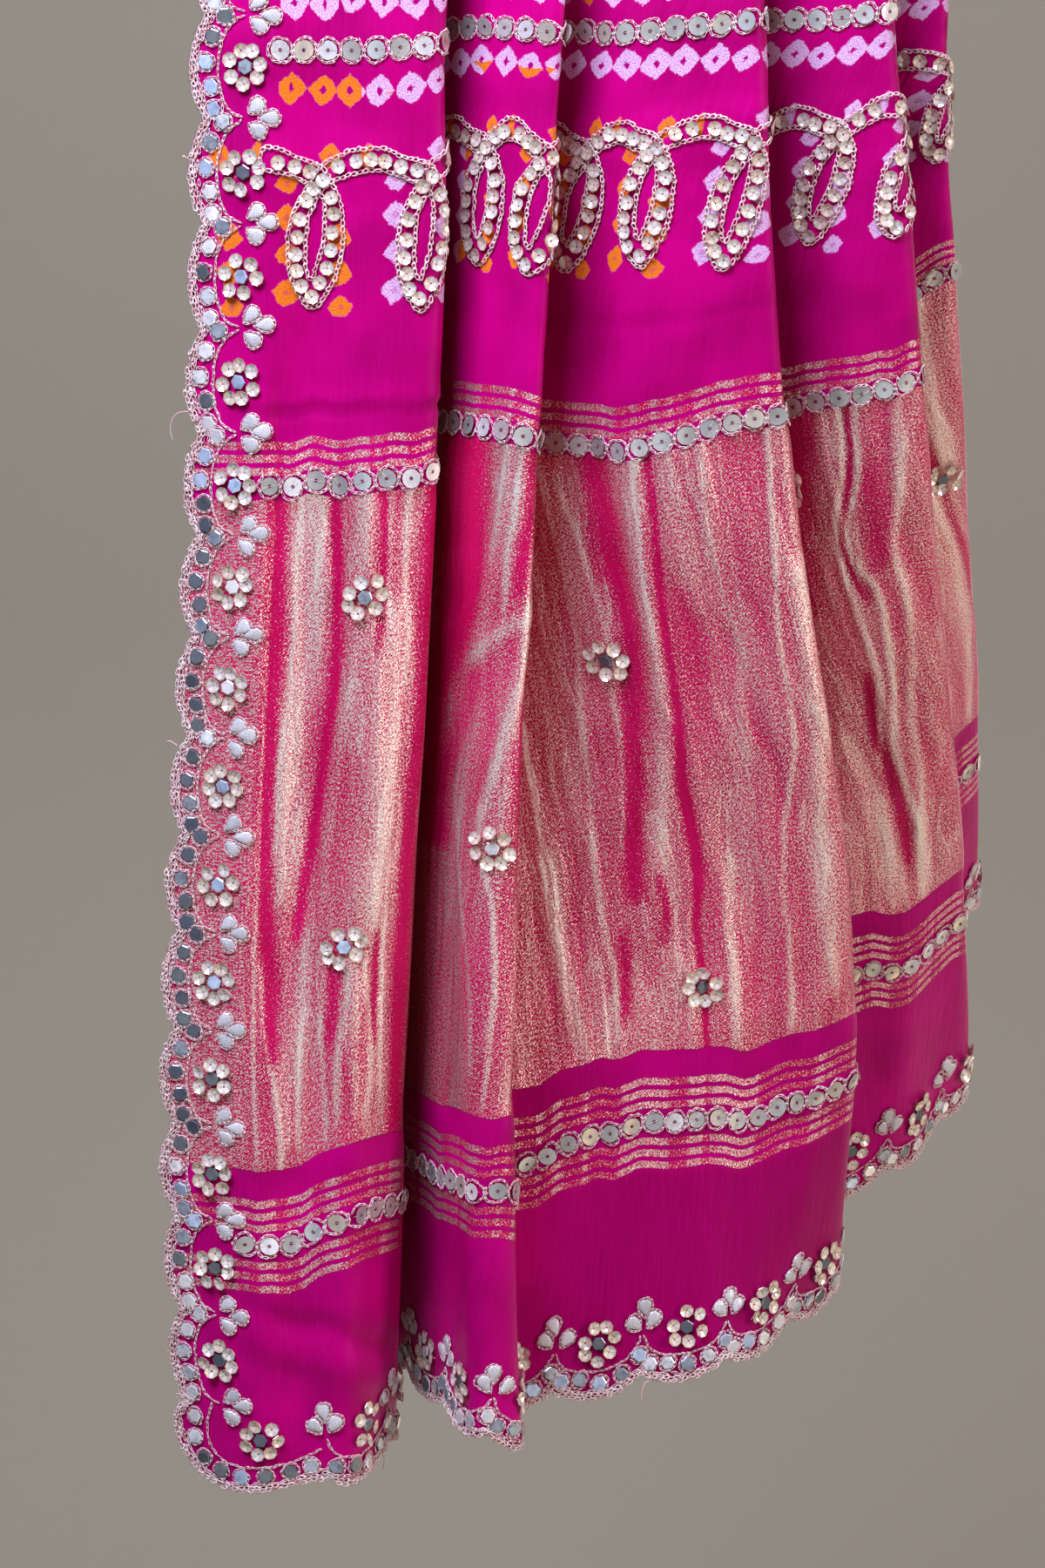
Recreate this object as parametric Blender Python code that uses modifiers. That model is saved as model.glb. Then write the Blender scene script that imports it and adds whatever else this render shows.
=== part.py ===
"""The pleated end of a bandhani silk cloth, hanging from its top edge.

Blender 4.5, metres, +Z up. The front faces -Y and +X is to the right. The origin is
the middle of the straight top edge. The cloth is laid out flat first: u runs across
it from the scalloped left edge and v runs up from the hem. A short table of fold
lines then says where the flat cloth hangs, and every piece is placed through it.
"""

import math
from collections import namedtuple

import bpy
import numpy as np
from mathutils.geometry import delaunay_2d_cdt

MM = 0.001

# The flat cloth
WIDTH = 1.000
LENGTH = 0.659
THICKNESS = 0.0012
BAND_FOOT = 0.134
BAND_HEAD = 0.396
LEVELS = (0.0, BAND_FOOT, BAND_HEAD, LENGTH)

# The scalloped edge: bows of one depth, and one rounded lobe at the corner
SCALLOP_DEPTH = 0.006
SCALLOP_STEPS = 5
LEFT_PITCH = 0.0385
CORNER_RADIUS = 0.027
CORNER_NOTCH_U = 0.064
CORNER_NOTCH_V = 0.035
CORNER_STEPS = 5
CORNER_RUN_IN = (0.0, 0.5)
CORNER_RUN_OUT = (0.3, 0.55, 0.8)
HEM_SCALLOPS = 25

# The pieces sewn on
CORD_RADIUS = 0.0012
CORD_GAP = 0.00035
FLOWER_RADIUS = 0.0064
FLOWER_LOBE = 0.0011
FLOWER_LOBES = 7
FLOWER_THICKNESS = 0.0011
FLOWER_POINTS_PER_LOBE = 4
FLOWER_LIFT = 0.0008

# How softly the cloth turns, and the least share of its length that a line falls
SOFTNESS = 0.0045
SECTION_STEP = 0.002
LEAST_DROP = 0.4

# How far the hanging shape is worked out past the cloth's edges
MARGIN = 0.020
SPARE = 0.080
SECTIONS = 60

# Fineness of the solids
ROW_PITCH = 0.0265
FOLD_HALF_WIDTHS = (0.010, 0.0045)
WIDE_STEP = 0.020
FIRST_ROW = 0.008
CLOSEST_COLUMNS = 0.003
EDGE_CLEARANCE = 0.0035
FLAT_SQUEEZE = 0.2
MERGE_DISTANCE = 1e-7

# Where the fold lines hang, in millimetres: x to the right and y to the back at the
# hem, the band's foot, the band's head and the top edge, and the height of the line
# at the band's head. "turn" is the radius in which the cloth doubles back there.
Fold = namedtuple("Fold", "name turn x y head")
FOLDS = (
    Fold("left edge", 0, (-157, -161, -148, -141), (-22, -32, -34, -38), -265),
    Fold("border ridge", 0, (-122, -122, -117, -108), (-40, -44, -46, -43), -264),
    Fold("first trough", 0, (-108, -108, -103, -96), (-35, -38, -40, -40), -264),
    Fold("first face", 0, (-88, -87, -77, -69), (-36, -41, -45, -43), -264),
    Fold("first fold", 6, (-71, -66, -53, -43), (6, -15, -34, -36), -258),
    Fold("first tuck", 5, (-132, -132, -128, -118), (58, 32, 2, -14), -252),
    Fold("second root", 0, (-82, -74, -62, -50), (66, 40, 10, -5), -246),
    Fold("second turn", 0, (-68, -60, -48, -32), (34, 2, -16, -20), -245),
    Fold("second face", 0, (-38, -39, -28, -16), (-37, -38, -36, -32), -246),
    Fold("second fold", 4, (-21, -23, -14, 2), (-24, -30, -38, -38), -250),
    Fold("third tuck", 4, (-26, -40, -64, -50), (12, 10, 26, 8), -252),
    Fold("third crease", 0, (56, 54, 28, 16), (34, 34, -22, -28), -247),
    Fold("third face", 0, (76, 78, 50, 36), (48, 40, -22, -30), -245),
    Fold("third fold", 6, (114, 117, 82, 64), (93, 57, -17, -31), -238),
    Fold("fourth tuck", 5, (72, 56, 10, -6), (138, 106, 36, 16), -240),
    Fold("fourth face", 0, (154, 143, 110, 90), (188, 132, 10, -10), -235),
    Fold("fourth fold", 6, (181, 171, 136, 113), (220, 146, 16, -8), -226),
    Fold("fifth tuck", 5, (130, 112, 66, 46), (250, 186, 60, 34), -218),
    Fold("fifth fold", 7, (194, 184, 153, 141), (313, 228, 60, 24), -192),
    Fold("back edge", 0, (70, 40, 0, 0), (336, 250, 88, 56), -200),
)

# Where the flowers are sewn on the band, in flat millimetres
BAND_FLOWERS = (
    (73, 357), (72, 221), (215, 300), (329, 241), (482, 307), (496, 164),
    (582, 366), (655, 235), (700, 330), (815, 200), (890, 350), (952, 294),
)


def smooth_value(values, height):
    """Cubic through one value at each of LEVELS, straight beyond the ends."""
    levels = np.array(LEVELS)
    values = np.array(values, dtype=float)
    slopes = np.gradient(values, levels)
    if height <= levels[0]:
        return values[0] + slopes[0] * (height - levels[0])
    if height >= levels[-1]:
        return values[-1] + slopes[-1] * (height - levels[-1])
    low = int(np.searchsorted(levels, height)) - 1
    span = levels[low + 1] - levels[low]
    part = (height - levels[low]) / span
    square = part * part
    cube = square * part
    return (
        (2 * cube - 3 * square + 1) * values[low]
        + (cube - 2 * square + part) * span * slopes[low]
        + (3 * square - 2 * cube) * values[low + 1]
        + (cube - square) * span * slopes[low + 1]
    )


def hanging_heights(fold):
    """Heights of a fold line at LEVELS: below the band's head it doesn't stretch."""
    run = [(x * MM, y * MM) for x, y in zip(fold.x, fold.y)]
    head = fold.head * MM
    foot = head - drop(BAND_HEAD - BAND_FOOT, run[1], run[2])
    hem = foot - drop(BAND_FOOT, run[0], run[1])
    return (hem, foot, head, 0.0)


def drop(length, lower, upper):
    """How far a length of cloth falls while it runs sideways between two places."""
    run = math.dist(lower, upper)
    return math.sqrt(max(length**2 - run**2, (LEAST_DROP * length) ** 2))


def fold_points(height):
    """The corners of the cloth's section at one height, and each fold's corner."""
    points = []
    corners = []
    for fold in FOLDS:
        x = smooth_value(fold.x, height) * MM
        y = smooth_value(fold.y, height) * MM
        z = smooth_value(hanging_heights(fold), height)
        turn = fold.turn * MM
        corners.append(len(points) + (0.5 if turn else 0.0))
        if turn:
            points.append((x, y - turn, z))
            points.append((x, y + turn, z))
        else:
            points.append((x, y, z))
    return np.array(points), corners


def section(height):
    """The cloth's soft section at one height: lengths, points, and the folds' lengths."""
    points, corners = fold_points(height)
    steps = np.linalg.norm(np.diff(points, axis=0), axis=1)
    lengths = np.concatenate(([0.0], np.cumsum(steps)))
    marks = np.interp(corners, range(len(points)), lengths)
    start = points[0] - (points[1] - points[0]) / steps[0] * SPARE
    end = points[-1] + (points[-1] - points[-2]) / steps[-1] * SPARE
    lengths = np.concatenate(([-SPARE], lengths, [lengths[-1] + SPARE]))
    points = np.vstack((start, points, end))
    samples = np.arange(-SPARE, lengths[-1], SECTION_STEP)
    raw = [np.interp(samples, lengths, points[:, axis]) for axis in range(3)]
    reach = int(4 * SOFTNESS / SECTION_STEP)
    offsets = np.arange(-reach, reach + 1) * SECTION_STEP
    weights = np.exp(-0.5 * (offsets / SOFTNESS) ** 2)
    weights /= weights.sum()
    soft = np.stack([np.convolve(line, weights, mode="valid") for line in raw], axis=1)
    samples = samples[reach:-reach]
    runs = np.linalg.norm(np.diff(soft, axis=0), axis=1)
    travelled = np.concatenate(([0.0], np.cumsum(runs)))
    travelled -= np.interp(0.0, samples, travelled)
    return travelled, soft, np.interp(marks, samples, travelled)


class HangingCloth:
    """Places any point of the flat cloth in the hanging one."""

    def __init__(self):
        self.heights = np.linspace(-MARGIN, LENGTH + MARGIN, SECTIONS)
        self.widths = np.arange(-MARGIN, WIDTH + MARGIN, SECTION_STEP)
        rows = []
        marks = []
        for height in self.heights:
            travelled, soft, folds = section(height)
            rows.append([np.interp(self.widths, travelled, soft[:, axis]) for axis in range(3)])
            marks.append(folds)
        self.grid = np.array(rows)
        self.marks = np.array(marks)

    def place(self, u, v):
        """The hanging place of the flat point (u, v)."""
        row = np.interp(v, self.heights, range(len(self.heights)))
        column = np.interp(u, self.widths, range(len(self.widths)))
        low_row = min(int(row), len(self.heights) - 2)
        low_column = min(int(column), len(self.widths) - 2)
        block = self.grid[low_row:low_row + 2, :, low_column:low_column + 2]
        across = block[:, :, 0] + (block[:, :, 1] - block[:, :, 0]) * (column - low_column)
        return across[0] + (across[1] - across[0]) * (row - low_row)

    def normal(self, u, v):
        """The unit normal on the cloth's face side at (u, v)."""
        step = SECTION_STEP
        along_u = self.place(u + step, v) - self.place(u - step, v)
        along_v = self.place(u, v + step) - self.place(u, v - step)
        cross = np.cross(along_u, along_v)
        return cross / np.linalg.norm(cross)

    def fold_stations(self, v):
        """How far across each fold line lies at height v."""
        return [np.interp(v, self.heights, self.marks[:, i]) for i in range(len(FOLDS))]

    def across(self, column, v):
        """Where a column that runs along the folds crosses height v."""
        return np.interp(column, self.fold_stations(BAND_HEAD), self.fold_stations(v))

    def column(self, u, v):
        """The column through the flat point (u, v)."""
        return np.interp(u, self.fold_stations(v), self.fold_stations(BAND_HEAD))


def scallop(part):
    """How far the edge is cut back at this part of the way along one scallop."""
    return SCALLOP_DEPTH * (1 - 4 * part * (1 - part))


def scalloped_edge():
    """The cut edge in flat sizes, from the top left corner down and along the hem."""
    whole_steps = (LENGTH - CORNER_NOTCH_V) / LEFT_PITCH * SCALLOP_STEPS
    points = [(scallop(whole_steps / SCALLOP_STEPS % 1), LENGTH)]
    for step in range(int(whole_steps), 0, -1):
        part = step / SCALLOP_STEPS
        points.append((scallop(part % 1), CORNER_NOTCH_V + LEFT_PITCH * part))
    for part in CORNER_RUN_IN:
        v = CORNER_NOTCH_V + (CORNER_RADIUS - CORNER_NOTCH_V) * part
        points.append((SCALLOP_DEPTH * (1 - part) ** 2, v))
    for step in range(CORNER_STEPS + 1):
        angle = math.pi / 2 * step / CORNER_STEPS
        reach = CORNER_RADIUS
        points.append((reach * (1 - math.cos(angle)), reach * (1 - math.sin(angle))))
    for part in CORNER_RUN_OUT:
        u = CORNER_RADIUS + (CORNER_NOTCH_U - CORNER_RADIUS) * part
        points.append((u, SCALLOP_DEPTH * part**2))
    hem_pitch = (WIDTH - CORNER_NOTCH_U) / HEM_SCALLOPS
    for step in range(HEM_SCALLOPS * SCALLOP_STEPS + 1):
        part = step / SCALLOP_STEPS
        points.append((CORNER_NOTCH_U + hem_pitch * part, scallop(part % 1)))
    return points


def fold_columns(cloth):
    """Columns of points, close at the folds and wide between them, at one height."""
    marks = cloth.fold_stations(BAND_HEAD)
    columns = [0.0]
    for fold, mark in zip(FOLDS[1:-1], marks[1:-1]):
        reaches = FOLD_HALF_WIDTHS if fold.turn else FOLD_HALF_WIDTHS[:1]
        near = [mark - reach for reach in reaches] + [mark]
        near += [mark + reach for reach in reversed(reaches)]
        last = columns[-1]
        gap = near[0] - last
        between = max(int(round(gap / WIDE_STEP)), 1)
        columns += [last + gap * step / between for step in range(1, between)]
        columns += [column for column in near if column > columns[-1] + CLOSEST_COLUMNS]
    gap = marks[-1] - columns[-1]
    between = int(round(gap / WIDE_STEP))
    last = columns[-1]
    columns += [last + gap * step / between for step in range(1, between)]
    return columns


def far_from(point, outline, clearance):
    """Whether a flat point keeps its distance from the outline's segments."""
    ends = np.roll(outline, -1, axis=0)
    along = ends - outline
    part = np.sum((point - outline) * along, axis=1) / np.sum(along * along, axis=1)
    nearest = outline + along * np.clip(part, 0, 1)[:, None]
    return np.min(np.linalg.norm(nearest - point, axis=1)) > clearance


def flat_cloth(cloth):
    """The flat cloth's points and triangles, in columns that run along the folds."""
    columns = fold_columns(cloth)
    rows = int(round(LENGTH / ROW_PITCH))
    heights = [LENGTH * row / rows for row in range(1, rows)]
    right = [(WIDTH, height) for height in heights]
    top = [(cloth.across(column, LENGTH), LENGTH) for column in reversed(columns)]
    top = [point for point in top if SCALLOP_DEPTH + EDGE_CLEARANCE < point[0] < WIDTH]
    outline = np.array(scalloped_edge() + right + [(WIDTH, LENGTH)] + top)
    inner = []
    for height in [SCALLOP_DEPTH + FIRST_ROW] + heights:
        for column in columns:
            point = np.array((cloth.across(column, height), height))
            inside = SCALLOP_DEPTH < point[0] < WIDTH
            if inside and far_from(point, outline, EDGE_CLEARANCE):
                inner.append(point)
    flat = np.vstack((outline, np.array(inner)))
    straightened = [(cloth.column(u, v), v * FLAT_SQUEEZE) for u, v in flat]
    face = list(range(len(outline)))
    made = delaunay_2d_cdt(straightened, [], [face], 1, MERGE_DISTANCE)
    heights_made = [point[1] / FLAT_SQUEEZE for point in made[0]]
    points = [(cloth.across(point[0], v), v) for point, v in zip(made[0], heights_made)]
    return points, made[2]


def material(name, colour, roughness, metallic):
    """A Principled material."""
    made = bpy.data.materials.new(name)
    made.use_nodes = True
    shader = made.node_tree.nodes["Principled BSDF"]
    shader.inputs["Base Color"].default_value = (*colour, 1.0)
    shader.inputs["Roughness"].default_value = roughness
    shader.inputs["Metallic"].default_value = metallic
    return made


def sheet_object(name, points, faces, thickness, offset, finish, collection):
    """An open surface given its thickness."""
    mesh = bpy.data.meshes.new(name)
    mesh.from_pydata([tuple(point) for point in points], [], faces)
    mesh.materials.append(finish)
    mesh.shade_smooth()
    made = bpy.data.objects.new(name, mesh)
    collection.objects.link(made)
    solid = made.modifiers.new("Thickness", "SOLIDIFY")
    solid.thickness = thickness
    solid.offset = offset
    solid.use_even_offset = False
    return made


def make_cloth(cloth, collection):
    """The one panel of silk, on its folds."""
    silk = material("magenta silk", (0.55, 0.005, 0.30), 0.45, 0.0)
    flat, faces = flat_cloth(cloth)
    points = [cloth.place(u, v) for u, v in flat]
    sheet_object("cloth", points, faces, THICKNESS, 0.0, silk, collection)


def make_edge_cord(cloth, collection):
    """The cord of double chain stitch laid along the scalloped edge."""
    thread = material("silver pink thread", (0.75, 0.50, 0.50), 0.5, 0.3)
    edge = np.array(scalloped_edge())
    ahead = np.vstack((edge[1:], edge[-1] * 2 - edge[-2]))
    behind = np.vstack((edge[0] * 2 - edge[1], edge[:-1]))
    before = (edge - behind) / np.linalg.norm(edge - behind, axis=1)[:, None]
    after = (ahead - edge) / np.linalg.norm(ahead - edge, axis=1)[:, None]
    tangent = before + after
    tangent /= np.linalg.norm(tangent, axis=1)[:, None]
    outward = np.stack((tangent[:, 1], -tangent[:, 0]), axis=1)
    mitre = np.sum(tangent * after, axis=1)
    route = edge + outward * ((CORD_RADIUS + CORD_GAP) / mitre)[:, None]
    curve = bpy.data.curves.new("edge_cord", "CURVE")
    curve.dimensions = "3D"
    curve.bevel_depth = CORD_RADIUS
    curve.bevel_resolution = 1
    curve.use_fill_caps = True
    spline = curve.splines.new("POLY")
    spline.points.add(len(route) - 1)
    for point, (u, v) in zip(spline.points, route):
        point.co = (*cloth.place(u, v), 1.0)
    curve.materials.append(thread)
    collection.objects.link(bpy.data.objects.new("edge_cord", curve))


def make_band_flower(cloth, name, centre, finish, collection):
    """A thin lobed flower that follows the band a little above its face."""
    rim = []
    steps = FLOWER_LOBES * FLOWER_POINTS_PER_LOBE
    for step in range(steps):
        angle = 2 * math.pi * step / steps
        reach = FLOWER_RADIUS + FLOWER_LOBE * math.cos(FLOWER_LOBES * angle)
        rim.append((centre[0] + reach * math.cos(angle), centre[1] + reach * math.sin(angle)))
    lift = THICKNESS / 2 + FLOWER_LIFT
    points = [cloth.place(u, v) + cloth.normal(u, v) * lift for u, v in [centre] + rim]
    faces = [(0, 1 + step, 1 + (step + 1) % steps) for step in range(steps)]
    sheet_object(name, points, faces, FLOWER_THICKNESS, 1.0, finish, collection)


def main():
    for old in list(bpy.data.objects):
        bpy.data.objects.remove(old)
    collection = bpy.data.collections.new("bandhani cloth")
    bpy.context.scene.collection.children.link(collection)
    cloth = HangingCloth()
    make_cloth(cloth, collection)
    make_edge_cord(cloth, collection)
    sequin = material("champagne sequin", (0.75, 0.68, 0.62), 0.25, 0.9)
    for index, (u, v) in enumerate(BAND_FLOWERS, start=1):
        name = f"band_flower_{index:02d}"
        make_band_flower(cloth, name, (u * MM, v * MM), sequin, collection)


main()
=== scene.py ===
"""The pleated end of a bandhani silk cloth: its weave, its dye and all that is sewn on it.

Metres, +Z up; the front faces -Y and +X is to the right. The cloth is laid out flat
first: u runs across it from the scalloped left edge and v runs up from the hem. The
fold table says where the flat cloth hangs, and every stitch and sequin is placed on it.
"""

import math
from collections import namedtuple
from functools import reduce

import bmesh
import bpy
import numpy as np
from mathutils import Matrix, Vector


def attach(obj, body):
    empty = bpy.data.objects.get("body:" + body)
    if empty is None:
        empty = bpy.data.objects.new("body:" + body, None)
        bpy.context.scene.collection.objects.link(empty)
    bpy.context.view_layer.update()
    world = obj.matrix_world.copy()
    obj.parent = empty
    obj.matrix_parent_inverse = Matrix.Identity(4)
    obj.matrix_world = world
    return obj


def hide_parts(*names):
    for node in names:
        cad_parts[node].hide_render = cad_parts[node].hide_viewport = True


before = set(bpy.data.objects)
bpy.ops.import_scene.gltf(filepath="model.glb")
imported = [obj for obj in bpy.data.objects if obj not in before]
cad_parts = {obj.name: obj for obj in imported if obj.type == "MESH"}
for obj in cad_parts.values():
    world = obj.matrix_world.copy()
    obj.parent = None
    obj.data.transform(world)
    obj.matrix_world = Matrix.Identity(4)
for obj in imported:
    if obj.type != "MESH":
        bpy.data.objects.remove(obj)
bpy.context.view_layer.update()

MM = 0.001

# The flat cloth
WIDTH = 1.000
LENGTH = 0.659
BAND_FOOT = 0.134
BAND_HEAD = 0.396
LEVELS = (0.0, BAND_FOOT, BAND_HEAD, LENGTH)

# The scalloped edge
SCALLOP_DEPTH = 0.006
LEFT_PITCH = 0.0385
LEFT_SCALLOPS = 16
CORNER_RADIUS = 0.027
CORNER_NOTCH_U = 0.064
CORNER_NOTCH_V = 0.035
HEM_SCALLOPS = 25
HEM_PITCH = (WIDTH - CORNER_NOTCH_U) / HEM_SCALLOPS

# How the hanging shape is worked out
SOFTNESS = 0.0045
SECTION_STEP = 0.002
LEAST_DROP = 0.4
MARGIN = 0.020
SPARE = 0.080
SECTIONS = 470
ACROSS_STEP = 0.00125

# Rows and columns of the cloth's mesh
ROWS_PER_SCALLOP = 14
CORNER_ROWS = 12
COLUMNS_PER_SCALLOP = 15
CORNER_COLUMNS = 26

# Where the fold lines hang, in millimetres: x to the right and y to the back at the
# hem, the band's foot, the band's head and the top edge, and the height of the line
# at the band's head. "turn" is the radius in which the cloth doubles back there. Most
# lines that show were worked out by another script, from places picked in the
# photograph and an assumed camera, and were then adjusted by hand. The lines inside
# the folds, all depths at the band's head and all of the top edge are guesses.
Fold = namedtuple("Fold", "name turn x y head")
FOLDS = (
    Fold("left edge", 0, (-157, -161, -148, -141), (-22, -32, -34, -38), -265),
    Fold("border ridge", 0, (-122, -122, -117, -108), (-40, -44, -46, -43), -264),
    Fold("first trough", 0, (-108, -108, -103, -96), (-35, -38, -40, -40), -264),
    Fold("first face", 0, (-88, -87, -77, -69), (-36, -41, -45, -43), -264),
    Fold("first fold", 6, (-71, -66, -53, -43), (6, -15, -34, -36), -258),
    Fold("first tuck", 5, (-132, -132, -128, -118), (58, 32, 2, -14), -252),
    Fold("second root", 0, (-82, -74, -62, -50), (66, 40, 10, -5), -246),
    Fold("second turn", 0, (-68, -60, -48, -32), (34, 2, -16, -20), -245),
    Fold("second face", 0, (-38, -39, -28, -16), (-37, -38, -36, -32), -246),
    Fold("second fold", 4, (-21, -23, -14, 2), (-24, -30, -38, -38), -250),
    Fold("third tuck", 4, (-26, -40, -64, -50), (12, 10, 26, 8), -252),
    Fold("third crease", 0, (56, 54, 28, 16), (34, 34, -22, -28), -247),
    Fold("third face", 0, (76, 78, 50, 36), (48, 40, -22, -30), -245),
    Fold("third fold", 6, (114, 117, 82, 64), (93, 57, -17, -31), -238),
    Fold("fourth tuck", 5, (72, 56, 10, -6), (138, 106, 36, 16), -240),
    Fold("fourth face", 0, (154, 143, 110, 90), (188, 132, 10, -10), -235),
    Fold("fourth fold", 6, (181, 171, 136, 113), (220, 146, 16, -8), -226),
    Fold("fifth tuck", 5, (130, 112, 66, 46), (250, 186, 60, 34), -218),
    Fold("fifth fold", 7, (194, 184, 153, 141), (313, 228, 60, 24), -192),
    Fold("back edge", 0, (70, 40, 0, 0), (336, 250, 88, 56), -200),
)

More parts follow.
